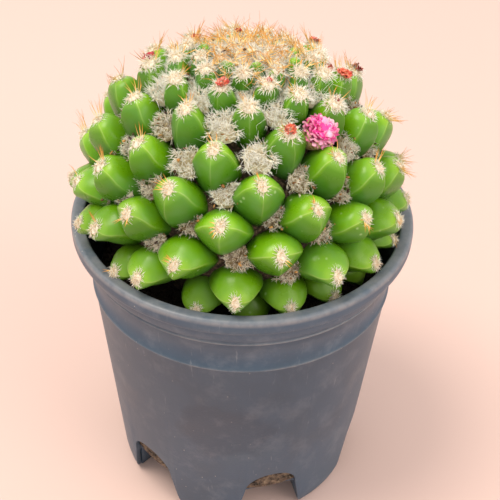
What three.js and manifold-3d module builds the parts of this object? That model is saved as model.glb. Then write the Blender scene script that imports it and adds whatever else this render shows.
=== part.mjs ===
// Potted round cactus: a globe of blunt, four-angled green tubercles set in spirals, with woolly
// spine pads, wool between the tubercles, a spiny woolly crown and one pink flower, in a round
// moulded nursery pot with arched feet. Millimetres, +Z up. The origin is under the middle of the
// pot, on the surface that its feet stand on. The photographed front faces -Y.
import * as THREE from 'three';
import { mergeVertices } from 'three/addons/utils/BufferGeometryUtils.js';
import Module from 'manifold-3d';

const wasm = await Module();
wasm.setup();

const { Vector3, MathUtils } = THREE;
const TURN = 2 * Math.PI;

// ---- Driving dimensions ---------------------------------------------------------------------
const GAP = 0.3;                 // left between neighbouring pieces

// Nursery pot
const POT_HEIGHT = 115;
const RIM_RADIUS = 60;           // outside of the rolled rim
const RIM_MOUTH = 55.4;          // inner edge of the rim
const RIM_DEPTH = 4.8;           // height of the rolled rim
const COLLAR_LOW = 101;          // fine step where the flared collar starts
const FLOOR_TOP = 16;            // the floor is raised on the feet
const FLOOR_THICKNESS = 1.8;
const FLOOR_RADIUS = 45.6;
const FOOT_RADIUS = 44.4;        // the wall curls in to this at its foot
const FOOT_THICKNESS = 2;
const FOOT_COUNT = 6;
const FIRST_ARCH = MathUtils.degToRad(-73.5);
const ARCH_HEIGHT = 26.8;        // the arches reach above the floor and drain the soil
const ARCH_SHOULDER = 17.5;      // the sides lean in up to here, and half an ellipse closes the top
const ARCH_FOOT_HALF = 13;
const ARCH_SHOULDER_HALF = 9.9;
const ARCH_START = 43;           // the cut's distance from the pot's axis
const ARCH_END = 53;
const FOOT_CUT_START = 38.5;     // the wall curls in at its foot, so the cut starts further in there
const FOOT_CUT_HEIGHT = 8;
const WEB_THICKNESS = 1.8;       // webs beside each arch stiffen the feet
const WEB_START = 32.5;
const WEB_STEP = 0.2;            // a web stands this far back from the arch's edge
const POT_SIDES = 48;

// Soil
const SOIL_TOP = 91;
const NECK_RADIUS = 25;          // the plant's woody neck, which stands in the soil
const NECK_LOW = 82;

// The globe that the tubercle tips lie on
const BODY_CENTRE = new Vector3(-1.3, 0, 120);
const BODY_RADIUS = 57.2;
const BODY_RISE = 59;
const BODY_LEAN_X = -0.0874;     // the plant leans slightly back and to the right
const BODY_LEAN_Y = 0.053;
const TUCK = 8;                  // the lowest tubercles draw in below the pot's rim
const SPREAD_LIMIT = RIM_RADIUS - 0.2;

// Spiral order: every tubercle stands one golden turn round from the one before it
const DIVERGENCE = MathUtils.degToRad(137.456);
const FIRST_TURN = MathUtils.degToRad(217.05);
const YOUNG_COUNT = 54.9;        // tubercles crowded round the growing tip
const YOUNG_SPAN = 0.0701;
const MATURE_RATE = 40;          // tubercles added towards the equator
const LOWER_RATE = 21.7;
const SWING = MathUtils.degToRad(6.5);   // the lowest rows hang at front and back, and ride up between
const SWING_START = MathUtils.degToRad(76);
const SWING_FULL = MathUtils.degToRad(92);
const FRONT_TURN = MathUtils.degToRad(-85);
const FIRST_TUBERCLE = 28;       // the younger ones are hidden in the crown's wool
const LAST_TUBERCLE = 138;

// A full-grown tubercle
const TUBERCLE_LENGTH = 15;
const TUBERCLE_HALF_WIDTH = 10.2;
const TUBERCLE_HALF_HEIGHT = 8.4;
const UPWARD_LEAN = 0.22;        // the tubercles turn up a little towards the light
const AXIL_DEPTH = 11;           // from the tips down to the skin between the tubercles
const CROWN_DEPTH = 5;
const CORE_STEPS = 7;
const CORE_SIDES = 16;
const CORE_LOW_ANGLE = MathUtils.degToRad(118);
const CORNER_POWER = 1.35;       // 1 is a sharp rhombus, 2 an ellipse
const MATURE_SPACING = 17.5;     // distance between neighbouring full-grown tips
const SPINE_RADIUS = 0.42;
const SPINE_ROOT = 1.4;
const YOUNG_SIZE = 0.6;          // the crown's own spines cover smaller tubercles
const LAST_SPINED = 128;         // below this one the pads are hidden in the pot

// Wool between the tubercles
const FIRST_TUFT = 42;
const LAST_TUFT = 80;            // the lowest tuft that stands up between the tubercles
const TUFT_RADIUS = 4.4;
const TUFT_HEIGHT = 5;
const TUFT_DEPTH = 9;            // a tuft's widest part lies this far under the globe of the tips

// Crown, flower and buds
const CROWN_RADIUS = 16;
const CROWN_HEIGHT = 6;
const CROWN_SEAT = 6.5;          // the dome's edge lies this far under the globe of the tips
const CROWN_LUMPS = 12;
const CROWN_SPINES = 42;
const FLOWER_TUBERCLE = 74;      // the flower grows out of the wool above this tubercle
const AXIL_ANGLE = MathUtils.degToRad(11.5);
const FLOWER_RADIUS = 4.9;
const FLOWER_DEPTH = 9;          // the cup's waist lies this far under the globe of the tips
const CUP_TOP = 5.5;
const PETAL_COUNT = 18;
const BUD_TUBERCLES = [73, 51, 64, 57];
const BUD_RADIUS = 1.9;
const BUD_LENGTH = 8;
const BUD_DEPTH = 6.5;

const COLOURS = {
  pot: 0x565a62, soil: 0x33271f, cactus: 0x5f9a2c, wool: 0xe4d6bd,
  petals: 0xe2559c, sepals: 0xa99a63, bud: 0xb5304a,
};

// ---- Making and joining closed meshes ---------------------------------------------------------
function solid(geometry) {
  const bare = geometry.clone();
  bare.deleteAttribute('normal');
  bare.deleteAttribute('uv');
  const welded = mergeVertices(bare, 1e-4);
  return new wasm.Manifold(new wasm.Mesh({
    numProp: 3,
    vertProperties: new Float32Array(welded.attributes.position.array),
    triVerts: new Uint32Array(welded.index.array),
  }));
}

function joined(solids) {
  let level = solids;
  while (level.length > 1) {
    const next = [];
    for (let i = 0; i < level.length; i += 2) {
      next.push(i + 1 < level.length ? level[i].add(level[i + 1]) : level[i]);
    }
    level = next;
  }
  return level[0];
}

function named(name, body, colour, roughness) {
  const { vertProperties, triVerts } = body.getMesh();
  const geometry = new THREE.BufferGeometry();
  geometry.setAttribute('position', new THREE.BufferAttribute(vertProperties, 3));
  geometry.setIndex(new THREE.BufferAttribute(triVerts, 1));
  geometry.computeVertexNormals();
  const material = new THREE.MeshStandardMaterial({ color: colour, roughness, metalness: 0 });
  const mesh = new THREE.Mesh(geometry, material);
  mesh.name = name;
  return mesh;
}

// A turned shape about +Z from [radius, height] pairs that run anticlockwise, outside going up.
function turned(profile, sides) {
  const points = profile.map(([radius, height]) => new THREE.Vector2(radius, height));
  return new THREE.LatheGeometry(points, sides).rotateX(Math.PI / 2);
}

// Repeatable random numbers from 0 to 1.
function randomStream(seed) {
  let state = seed;
  return () => {
    state = (state * 1664525 + 1013904223) % 4294967296;
    return state / 4294967296;
  };
}

// ---- Pot ----------------------------------------------------------------------------------------
const OUTER_WALL = [
  [FOOT_RADIUS, 0], [45.8, 2.6], [46.5, 7], [48.9, 35], [53.3, 87], [54, 88], [54.9, COLLAR_LOW],
  [57.4, POT_HEIGHT - RIM_DEPTH], [RIM_RADIUS - 0.6, POT_HEIGHT - RIM_DEPTH],
  [RIM_RADIUS, POT_HEIGHT - 2.4], [RIM_RADIUS - 0.7, POT_HEIGHT - 0.4], [RIM_RADIUS - 1.6, POT_HEIGHT],
];
const INNER_WALL = [
  [RIM_MOUTH, POT_HEIGHT], [53.2, COLLAR_LOW], [50, 75], [47.1, 35], [FLOOR_RADIUS, FLOOR_TOP],
  [0, FLOOR_TOP],
];
const UNDERSIDE = [
  [0, FLOOR_TOP - FLOOR_THICKNESS], [FLOOR_RADIUS - 0.1, FLOOR_TOP - FLOOR_THICKNESS], [44.8, 5],
  [FOOT_RADIUS - FOOT_THICKNESS, 0],
];

// Half the width of an arch at a height below its shoulder.
function archHalf(height) {
  return ARCH_FOOT_HALF + (ARCH_SHOULDER_HALF - ARCH_FOOT_HALF) * height / ARCH_SHOULDER;
}

// Pulls an outline of [across, height] outwards along +X.
function pulled(outline, start) {
  const depth = ARCH_END - start;
  const block = new THREE.ExtrudeGeometry(outline, { depth, bevelEnabled: false, curveSegments: 4 });
  return block.rotateX(Math.PI / 2).rotateZ(Math.PI / 2).translate(start, 0, 0);
}

// One arch, cut through the wall only, so that the raised floor shows inside it as a ledge.
function archCut() {
  const outline = new THREE.Shape();
  outline.moveTo(-archHalf(-1), -1);
  outline.lineTo(archHalf(-1), -1);
  outline.lineTo(ARCH_SHOULDER_HALF, ARCH_SHOULDER);
  outline.absellipse(0, ARCH_SHOULDER, ARCH_SHOULDER_HALF, ARCH_HEIGHT - ARCH_SHOULDER, 0, Math.PI);
  return pulled(outline, ARCH_START);
}

function archFootCut() {
  const outline = new THREE.Shape();
  outline.moveTo(-archHalf(-1), -1);
  outline.lineTo(archHalf(-1), -1);
  outline.lineTo(archHalf(FOOT_CUT_HEIGHT), FOOT_CUT_HEIGHT);
  outline.lineTo(-archHalf(FOOT_CUT_HEIGHT), FOOT_CUT_HEIGHT);
  return pulled(outline, FOOT_CUT_START);
}

// A web that leans with the arch's side, from the surface below up into the floor.
function footWeb(side) {
  const top = FLOOR_TOP - FLOOR_THICKNESS / 2;
  const outline = new THREE.Shape();
  outline.moveTo(side * (archHalf(0) + WEB_STEP), 0);
  outline.lineTo(side * (archHalf(0) + WEB_STEP + WEB_THICKNESS), 0);
  outline.lineTo(side * (archHalf(top) + WEB_STEP + WEB_THICKNESS), top);
  outline.lineTo(side * (archHalf(top) + WEB_STEP), top);
  return pulled(outline, WEB_START);
}

function makePot() {
  const outside = solid(turned([[0, 0], ...OUTER_WALL, [0, POT_HEIGHT]], POT_SIDES));
  let pot = solid(turned([...UNDERSIDE, ...OUTER_WALL, ...INNER_WALL], POT_SIDES));
  for (let foot = 0; foot < FOOT_COUNT; foot += 1) {
    const turn = FIRST_ARCH + foot * TURN / FOOT_COUNT;
    const webs = [-1, 1].map((side) => solid(footWeb(side).rotateZ(turn)).intersect(outside));
    const cuts = [archCut(), archFootCut()].map((cut) => solid(cut.rotateZ(turn)));
    pot = joined([pot, ...webs]).subtract(joined(cuts));
  }
  return pot;
}

// ---- Soil: fills the pot, with a plain hole for the plant's neck -------------------------------
function makeSoil() {
  const low = FLOOR_TOP + GAP;
  const filled = [[0, low], [FLOOR_RADIUS - GAP, low], [50 - GAP, 75], [51.9 - GAP, SOIL_TOP - 0.5]];
  const neckHole = NECK_RADIUS + GAP;
  const hole = [[neckHole, SOIL_TOP], [neckHole, NECK_LOW - GAP], [0, NECK_LOW - GAP]];
  return solid(turned([...filled, ...hole], POT_SIDES));
}

// ---- Where each tubercle stands -------------------------------------------------------------------
// Number of tubercles above a latitude, whose drop is 1 less the cosine of its polar angle.
function countAbove(drop) {
  const young = YOUNG_COUNT * (1 - Math.exp(-drop / YOUNG_SPAN));
  return young + MATURE_RATE * drop + LOWER_RATE * drop * drop;
}

function dropOf(count) {
  let low = 0;
  let high = 2;
  for (let step = 0; step < 40; step += 1) {
    const middle = (low + high) / 2;
    if (countAbove(middle) < count) low = middle;
    else high = middle;
  }
  return low;
}

function directionAt(turn, polar) {
  const girth = Math.sin(polar);
  const upright = new Vector3(girth * Math.cos(turn), girth * Math.sin(turn), Math.cos(polar));
  return upright.applyAxisAngle(new Vector3(1, 0, 0), BODY_LEAN_X)
    .applyAxisAngle(new Vector3(0, 1, 0), BODY_LEAN_Y);
}

// The globe narrows where it goes down into the pot.
function girthRadius(rise) {
  return BODY_RADIUS - TUCK * MathUtils.smoothstep(-rise, -0.15, 0.35);
}

// The point at a depth under the globe of the tips.
function globePoint(direction, depth) {
  const reach = girthRadius(direction.z) - depth;
  return new Vector3(reach * direction.x, reach * direction.y, (BODY_RISE - depth) * direction.z)
    .add(BODY_CENTRE);
}

// A frame at a point: z points out of the plant, y towards the crown, x along the girth.
function frameAt(point, outward) {
  const side = new Vector3(0, 0, 1).cross(outward).normalize();
  const up = outward.clone().cross(side);
  return new THREE.Matrix4().makeBasis(side, up, outward).setPosition(point);
}

// Size of a tubercle against a full-grown one, from the room that its neighbours leave it.
function growth(count) {
  const drop = dropOf(count);
  const crowding = YOUNG_COUNT / YOUNG_SPAN * Math.exp(-drop / YOUNG_SPAN)
    + MATURE_RATE + 2 * LOWER_RATE * drop;
  const spacing = girthRadius(1 - drop) * Math.sqrt(TURN / crowding);
  return Math.min(1, spacing / MATURE_SPACING);
}

// The polar angle of a tubercle; the lowest rows leave the even spacing.
function polarAt(count, turn) {
  const even = Math.acos(1 - dropOf(count));
  const low = MathUtils.smoothstep(even, SWING_START, SWING_FULL);
  return even + SWING * low * Math.cos(2 * (turn - FRONT_TURN));
}

function tubercleAt(count) {
  const turn = FIRST_TURN + count * DIVERGENCE;
  const polar = polarAt(count, turn);
  const direction = directionAt(turn, polar);
  const outward = direction.clone().add(new Vector3(0, 0, UPWARD_LEAN)).normalize();
  return { frame: frameAt(globePoint(direction, 0), outward), size: growth(count), turn, polar };
}

// The hollow between tubercles, above one of them, where wool, buds and flowers grow.
function axilAt(count, depth) {
  const { turn, polar, size } = tubercleAt(count);
  const direction = directionAt(turn, polar - AXIL_ANGLE * size);
  return frameAt(globePoint(direction, depth), direction);
}

// ---- Cactus body -----------------------------------------------------------------------------------
// A blunt cone with four rounded angles: wide across the girth, narrower up and down.
function tubercle(size, sides) {
  const length = TUBERCLE_LENGTH * Math.pow(size, 0.7);
  const geometry = turned([[0, -length], [0.95, -length], [0.6, -0.14 * length], [0, 0.4]], sides);
  const place = geometry.attributes.position;
  for (let i = 0; i < place.count; i += 1) {
    const [x, y, z] = [place.getX(i), place.getY(i), place.getZ(i)];
    const angle = Math.atan2(y, x);
    const across = Math.abs(Math.cos(angle)) / TUBERCLE_HALF_WIDTH;
    const along = Math.abs(Math.sin(angle)) / TUBERCLE_HALF_HEIGHT;
    const reach = Math.hypot(x, y) * size
      / Math.pow(Math.pow(across, CORNER_POWER) + Math.pow(along, CORNER_POWER), 1 / CORNER_POWER);
    place.setXYZ(i, reach * Math.cos(angle), reach * Math.sin(angle), z);
  }
  return geometry;
}

// A spine is a slim three-sided cone, rooted in the tip, that leans down and to one side.
function spine(length, lean, side) {
  const cone = new THREE.ConeGeometry(SPINE_RADIUS, length, 3).rotateX(Math.PI / 2)
    .translate(0, 0, length / 2 - SPINE_ROOT);
  return cone.rotateX(lean).rotateY(side);
}

// True where a spine, from its root to its point, stays inside the pot's outline and off its rim.
function clearOfPot(needle) {
  const place = needle.attributes.position;
  const [point, root] = [new Vector3().fromBufferAttribute(place, 0), new Vector3()];
  for (let i = 1; i < place.count; i += 1) {
    root.fromBufferAttribute(place, i);
    for (let part = 0; part <= 1; part += 0.125) {
      const spot = root.clone().lerp(point, part);
      const limit = spot.z < POT_HEIGHT + 1 ? RIM_MOUTH - 1.5 : SPREAD_LIMIT;
      if (Math.hypot(spot.x, spot.y) > limit) return false;
    }
  }
  return true;
}

// The stem that the tubercles stand on, down to the neck in the soil.
function core() {
  const profile = [[0, NECK_LOW], [NECK_RADIUS, NECK_LOW], [NECK_RADIUS, SOIL_TOP + 1]];
  for (let step = 0; step <= CORE_STEPS; step += 1) {
    const polar = CORE_LOW_ANGLE * (1 - step / CORE_STEPS);
    const depth = CROWN_DEPTH + (AXIL_DEPTH - CROWN_DEPTH) * MathUtils.smoothstep(Math.sin(polar), 0, 0.75);
    const reach = (girthRadius(Math.cos(polar)) - depth) * Math.sin(polar);
    profile.push([reach, BODY_CENTRE.z + (BODY_RISE - depth) * Math.cos(polar)]);
  }
  return turned(profile, CORE_SIDES);
}

function makeCactus() {
  const random = randomStream(7);
  const pieces = [solid(core())];
  for (let count = FIRST_TUBERCLE; count <= LAST_TUBERCLE; count += 1) {
    const { frame, size } = tubercleAt(count);
    const sides = size > 0.7 && count <= LAST_SPINED ? 8 : 6;
    pieces.push(solid(tubercle(size, sides).applyMatrix4(frame)));
    if (size < YOUNG_SIZE || count > LAST_SPINED) continue;
    for (const side of [-1, 1]) {
      const length = 4.4 + 2.4 * random();
      const lean = 0.25 + 0.5 * random();
      const needle = spine(length, lean, side * (0.2 + 0.45 * random())).applyMatrix4(frame);
      if (clearOfPot(needle)) pieces.push(solid(needle));
    }
  }
  return joined(pieces);
}

// ---- Wool between the tubercles -------------------------------------------------------------------
function makeTufts() {
  const tufts = [];
  for (let count = FIRST_TUFT; count <= LAST_TUFT; count += 1) {
    if (count === FLOWER_TUBERCLE || BUD_TUBERCLES.includes(count)) continue;
    const girth = TUFT_RADIUS * growth(count);
    const tuft = new THREE.OctahedronGeometry(1).scale(girth, girth, TUFT_HEIGHT);
    tufts.push(solid(tuft.applyMatrix4(axilAt(count, TUFT_DEPTH))));
  }
  return tufts;
}

// ---- Crown wool with its long spines --------------------------------------------------------------
const CROWN_DIRECTION = directionAt(0, 0);
const CROWN_FRAME = frameAt(globePoint(CROWN_DIRECTION, CROWN_SEAT), CROWN_DIRECTION);

// The wool's body: a low dome on a shallow dish. Grown by a little, it cuts its own seat.
function crownDome(grow) {
  const edge = CROWN_RADIUS + grow;
  const top = CROWN_HEIGHT + grow;
  const dish = [[0, -3.5 - grow], [0.8 * edge, -2.6 - grow], [edge, 0]];
  const dome = [[0.9 * edge, 0.5 * CROWN_HEIGHT], [0.55 * edge, 0.88 * top], [0, top]];
  return turned([...dish, ...dome], 14).applyMatrix4(CROWN_FRAME);
}

// A long spine that bends outwards towards its point.
function crownSpine(length, bend) {
  const cone = new THREE.ConeGeometry(SPINE_RADIUS + 0.1, length, 3, 2).rotateX(Math.PI / 2)
    .translate(0, 0, length / 2);
  const place = cone.attributes.position;
  for (let i = 0; i < place.count; i += 1) {
    const along = place.getZ(i) / length;
    place.setX(i, place.getX(i) + bend * along * along);
  }
  return cone;
}

// A tuft of wool on the crown, out from its middle by a share of its radius.
function crownTuft(out, turn, roll) {
  const away = out * CROWN_RADIUS;
  return new THREE.OctahedronGeometry(3.2).rotateZ(roll)
    .translate(away * Math.cos(turn), away * Math.sin(turn), CROWN_HEIGHT * (0.8 - 0.47 * out * out));
}

function makeCrown() {
  const random = randomStream(21);
  const pieces = [crownDome(0)];
  for (let number = 0; number < CROWN_LUMPS; number += 1) {
    const out = 0.72 * Math.sqrt((number + 0.5) / CROWN_LUMPS);
    pieces.push(crownTuft(out, number * DIVERGENCE + 1, TURN * random()).applyMatrix4(CROWN_FRAME));
  }
  for (let number = 0; number < CROWN_SPINES; number += 1) {
    const out = 0.66 * Math.sqrt((number + 0.5) / CROWN_SPINES);
    const root = CROWN_HEIGHT * Math.sqrt(1 - out * out) - 2;
    const needle = crownSpine(6 + 4 * random(), 2 * random()).rotateY(0.3 + 0.9 * out * random())
      .translate(CROWN_RADIUS * out, 0, root).rotateZ(number * DIVERGENCE + 0.5 * random());
    pieces.push(needle.applyMatrix4(CROWN_FRAME));
  }
  return joined(pieces.map(solid));
}

// ---- Flower: a papery cup of sepals that holds a mass of folded petals ---------------------------
const FLOWER_FRAME = axilAt(FLOWER_TUBERCLE, FLOWER_DEPTH);

function flowerOutside(grow) {
  return [[0, -3 - grow], [2.4 + grow, -3 - grow], [FLOWER_RADIUS - 0.4 + grow, 2],
    [FLOWER_RADIUS + 0.3 + grow, CUP_TOP + grow]];
}

function makeSepals() {
  const inside = [[FLOWER_RADIUS - 0.6, CUP_TOP], [FLOWER_RADIUS - 1.3, 2], [1.6, -1], [0, -1]];
  return solid(turned([...flowerOutside(0), ...inside], 12).applyMatrix4(FLOWER_FRAME));
}

// The room that the flower takes among the tubercles, opening outwards round the petals.
function flowerRoom() {
  const opening = [[FLOWER_RADIUS + 1.4, 13], [0, 13]];
  return turned([...flowerOutside(GAP), ...opening], 12).applyMatrix4(FLOWER_FRAME);
}

// A folded petal: a flat four-sided cone that leans out from the flower's middle.
function petal(length, lean) {
  return new THREE.ConeGeometry(1.5, length, 4).rotateX(Math.PI / 2).scale(1, 0.5, 1)
    .translate(0, 0, length / 2).rotateZ(Math.PI / 2).rotateY(lean);
}

function makePetals() {
  const random = randomStream(5);
  const heart = [[0, -0.6], [1.3, -0.6], [FLOWER_RADIUS - 1.7, 2.2], [FLOWER_RADIUS - 1, CUP_TOP],
    [FLOWER_RADIUS - 0.6, 7.4], [2.6, 9.4], [0, 9.9]];
  const pieces = [turned(heart, 12).applyMatrix4(FLOWER_FRAME)];
  for (let number = 0; number < PETAL_COUNT; number += 1) {
    const out = Math.sqrt((number + 0.5) / PETAL_COUNT);
    const blade = petal(5.2 - 0.8 * out, 0.75 * out + 0.2 * random())
      .translate(0.68 * FLOWER_RADIUS * out, 0, 8.2 - 2.2 * out * out).rotateZ(number * DIVERGENCE);
    pieces.push(blade.applyMatrix4(FLOWER_FRAME));
  }
  return joined(pieces.map(solid));
}

// ---- Buds: small pointed ones, each in the wool above a tubercle -----------------------------------
function budShape(grow) {
  return turned([[0, -2 - grow], [1.1 + grow, -2 - grow], [BUD_RADIUS + grow, 2.5],
    [BUD_RADIUS * 0.8 + grow, BUD_LENGTH - 3.4], [0, BUD_LENGTH - 1.6 + 2 * grow]], 8);
}

// ---- The assembly --------------------------------------------------------------------------------
const budFrames = BUD_TUBERCLES.map((count) => axilAt(count, BUD_DEPTH));
const budRooms = budFrames.map((frame) => budShape(GAP).applyMatrix4(frame));
const seats = joined([crownDome(GAP), flowerRoom(), ...budRooms].map(solid));
const cactus = joined([makeCactus(), ...makeTufts()]).subtract(seats);

const group = new THREE.Group();
group.add(named('pot', makePot(), COLOURS.pot, 0.6));
group.add(named('soil', makeSoil(), COLOURS.soil, 0.95));
group.add(named('cactus', cactus, COLOURS.cactus, 0.45));
group.add(named('crown_wool', makeCrown(), COLOURS.wool, 0.95));
group.add(named('flower_sepals', makeSepals(), COLOURS.sepals, 0.8));
group.add(named('flower_petals', makePetals(), COLOURS.petals, 0.6));
budFrames.forEach((frame, index) => {
  group.add(named(`bud_${index + 1}`, solid(budShape(0).applyMatrix4(frame)), COLOURS.bud, 0.6));
});

export default group;
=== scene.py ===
import math
import random

import bmesh
import bpy
from mathutils import Matrix, Vector, noise


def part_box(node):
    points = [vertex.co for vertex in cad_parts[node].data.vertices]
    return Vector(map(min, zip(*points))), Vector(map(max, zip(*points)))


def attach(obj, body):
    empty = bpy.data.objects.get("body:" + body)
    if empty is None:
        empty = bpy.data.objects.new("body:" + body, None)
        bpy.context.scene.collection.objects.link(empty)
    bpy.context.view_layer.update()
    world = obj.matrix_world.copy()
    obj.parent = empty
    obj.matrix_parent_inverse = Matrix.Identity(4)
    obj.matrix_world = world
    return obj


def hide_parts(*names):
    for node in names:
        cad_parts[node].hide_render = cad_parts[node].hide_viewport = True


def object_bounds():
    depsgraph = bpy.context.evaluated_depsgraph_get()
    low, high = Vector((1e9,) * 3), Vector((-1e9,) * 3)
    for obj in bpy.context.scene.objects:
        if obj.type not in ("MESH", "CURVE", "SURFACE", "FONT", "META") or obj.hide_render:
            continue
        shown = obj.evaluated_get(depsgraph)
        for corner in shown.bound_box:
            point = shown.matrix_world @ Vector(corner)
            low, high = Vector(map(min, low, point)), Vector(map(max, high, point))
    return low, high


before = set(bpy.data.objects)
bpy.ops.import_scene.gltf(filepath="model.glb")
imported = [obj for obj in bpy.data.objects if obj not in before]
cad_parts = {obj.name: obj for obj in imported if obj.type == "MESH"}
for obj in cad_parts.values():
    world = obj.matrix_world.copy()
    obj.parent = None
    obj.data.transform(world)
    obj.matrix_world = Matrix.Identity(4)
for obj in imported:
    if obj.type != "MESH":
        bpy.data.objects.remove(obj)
cad_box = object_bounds()

# ---- The pot -----------------------------------------------------------------------------------
# A round nursery pot, injection moulded in one shot from dark blue-grey polypropylene. It has a
# rolled rim, two fine moulded rings, a raised floor and six arches that let water out, between
# which the wall runs down to the feet that it stands on. Webs beside the arches stiffen the feet.
MM = 0.001
RIM_RADIUS, _, POT_HEIGHT = (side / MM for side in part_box("pot")[1])
RIM_WIDTH = 4.6
RIM_DEPTH = 5.6
ROLL_START = 111.6
ROLL_TURN = 113.4
COLLAR_RADIUS = 57.4
COLLAR_FOOT = (55.6, 102.6)
COLLAR_BEND = 104
RING_HEIGHTS = (88.0, 101.2)
RING_PROUD = 0.55
RING_HALF_WIDTH = 0.55
WALL_THICKNESS = 1.7
WALL_LOW = 46.45
WALL_LOW_HEIGHT = 7.0
WALL_FLARE = 0.0899
INNER_WALL = ((53.2, 101), (50, 75), (47.1, 35))
FLOOR_TOP = 16.0
FLOOR_UNDERSIDE = 14.2
FOOT_RADIUS = 44.4
FOOT_COUNT = 6
FIRST_ARCH = math.radians(-73.5)
ARCH_HEIGHT = 26.8
ARCH_SHOULDER = 17.5
ARCH_FOOT_HALF = 13.0
ARCH_SHOULDER_HALF = 9.9
ARCH_START = 43.0
ARCH_END = 53.0
FOOT_CUT_START = 38.5
FOOT_CUT_HEIGHT = 8.0
FOOT_CORNER = 2.2
EDGE_ROUNDING = 0.35
SHARP_ANGLE = 0.8
SHARP_BEYOND = 41.0
WEB_THICKNESS = 1.8
WEB_START = 32.5
WEB_STEP = 0.2
WEB_TOP = 15.1
WEB_ENDS = (41.2, 42.9)
WEB_ROUNDING = 0.25
TURNS = 192


def linear(hex_colour):
    """A colour from its sRGB hex value, as the linear numbers that a shader takes."""
    parts = [int(hex_colour[i:i + 2], 16) / 255 for i in (1, 3, 5)]
    return [p / 12.92 if p <= 0.04045 else ((p + 0.055) / 1.055) ** 2.4 for p in parts] + [1.0]


def feed(tree, node, inputs):
    """Sets a node's inputs, by their names or in their order. Each is a value, or the node or the
    socket that feeds it, and a node feeds it from the first of its outputs that is in use."""
    for name, value in inputs.items() if isinstance(inputs, dict) else enumerate(inputs):
        if isinstance(value, bpy.types.Node):
            value = next(output for output in value.outputs if output.enabled)
        if isinstance(value, bpy.types.NodeSocket):
            tree.links.new(value, node.inputs[name])
        else:
            node.inputs[name].default_value = value


def add(tree, kind, inputs=(), stops=(), **settings):
    """Adds a shader node with its settings and inputs. Stops are the places and colours of a ramp,
    each colour a hex value or linear numbers."""
    made = tree.nodes.new("ShaderNode" + kind)
    for name, value in settings.items():
        setattr(made, name, value)
    feed(tree, made, inputs)
    if stops:
        ramp = made.color_ramp
        while len(ramp.elements) < len(stops):
            ramp.elements.new(0.5)
        for element, (place, colour) in zip(ramp.elements, stops):
            element.position = place
            element.color = linear(colour) if isinstance(colour, str) else colour
    return made


def new_material(name):
    """An empty material with its surface shader, which the section that calls it fills in."""
    material = bpy.data.materials.new(name)
    material.use_nodes = True
    return material, material.node_tree, material.node_tree.nodes["Principled BSDF"]


def finished(name, bm, material, slot, *nodes):
    """Makes a piece of a bmesh in millimetres, in place of the CAD nodes that it stands for. Hairs
    and spines end where the frame's box does."""
    for vert in bm.verts:
        vert.co = [min(high / MM, max(low / MM, along)) for along, low, high in zip(vert.co, *cad_box)]
    bmesh.ops.scale(bm, vec=(MM, MM, MM), verts=bm.verts)
    mesh = bpy.data.meshes.new(name)
    bm.to_mesh(mesh)
    bm.free()
    mesh.polygons.foreach_set("use_smooth", [True] * len(mesh.polygons))
    mesh.materials.append(material)
    piece = bpy.data.objects.new(name, mesh)
    bpy.context.scene.collection.objects.link(piece)
    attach(piece, "root")
    if nodes:
        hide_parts(*nodes)


def turned(bm, outline, steps):
    """Spins an outline of (radius, height) points about the pot's axis."""
    points = [bm.verts.new((radius, 0, height)) for radius, height in outline]
    edges = [bm.edges.new(pair) for pair in zip(points, points[1:])]
    bmesh.ops.spin(bm, geom=points + edges, cent=(0, 0, 0), axis=(0, 0, 1),
                   angle=math.tau, steps=steps, use_merge=True)
    bmesh.ops.remove_doubles(bm, verts=bm.verts, dist=0.001)
    bmesh.ops.recalc_face_normals(bm, faces=bm.faces)


def bow(start, control, end, steps):
    """Points on the curve from start to end that leans towards its control point."""
    for step in range(steps + 1):
        t = step / steps
        yield tuple((1 - t) ** 2 * a + 2 * t * (1 - t) * b + t * t * c
                    for a, b, c in zip(start, control, end))


def wall_radius(height):
    """Outside of the tapering wall, between the foot's curl and the collar."""
    return WALL_LOW + (height - WALL_LOW_HEIGHT) * WALL_FLARE


def ring(height):
    """A fine rounded bead on the wall, left by the joint between two parts of the mould."""
    for rise, proud in ((-0.6, 0), (-0.35, 0.55), (0, 1), (0.3, 0.75), (0.5, 0)):
        yield wall_radius(height + rise) + proud * RING_PROUD, height + rise


def pot_outline():
    """The pot's section from the middle of its underside round to the middle of its floor."""
    foot_curl = bow((FOOT_RADIUS, 0), (46.1, 2.4), (WALL_LOW, WALL_LOW_HEIGHT), 7)
    rings = [point for height in RING_HEIGHTS for point in ring(height)]
    under_rim = POT_HEIGHT - RIM_DEPTH
    collar = [*bow(COLLAR_FOOT, (COLLAR_RADIUS, COLLAR_BEND), (COLLAR_RADIUS, under_rim), 4),
              (RIM_RADIUS - 0.8, under_rim)]
    lip = bow((RIM_RADIUS - 0.5, under_rim + 0.2), (RIM_RADIUS, under_rim + 0.6),
              (RIM_RADIUS, ROLL_START), 3)
    roll = bow((RIM_RADIUS, ROLL_TURN), (RIM_RADIUS - 0.1, POT_HEIGHT), (RIM_RADIUS - 1.5, POT_HEIGHT), 6)
    mouth = RIM_RADIUS - RIM_WIDTH
    inner_edge = bow((mouth + 0.9, POT_HEIGHT - 0.35), (mouth, POT_HEIGHT - 0.4),
                     (mouth - 0.1, POT_HEIGHT - 1.6), 4)
    inside = [*INNER_WALL, (45.6, FLOOR_TOP + 1.2), (44.6, FLOOR_TOP), (0, FLOOR_TOP)]
    inside_foot = bow((44.9, FLOOR_UNDERSIDE - 1), (44.8, 4), (FOOT_RADIUS - WALL_THICKNESS, 0), 5)
    below = [(0, FLOOR_UNDERSIDE), (43.8, FLOOR_UNDERSIDE), *inside_foot]
    return [*below, *foot_curl, *rings, *collar, *lip, *roll, *inner_edge, *inside]


def arch_half(height):
    """Half the width of an arch between its foot and its shoulder: its sides lean in."""
    return ARCH_FOOT_HALF + (ARCH_SHOULDER_HALF - ARCH_FOOT_HALF) * height / ARCH_SHOULDER


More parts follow.
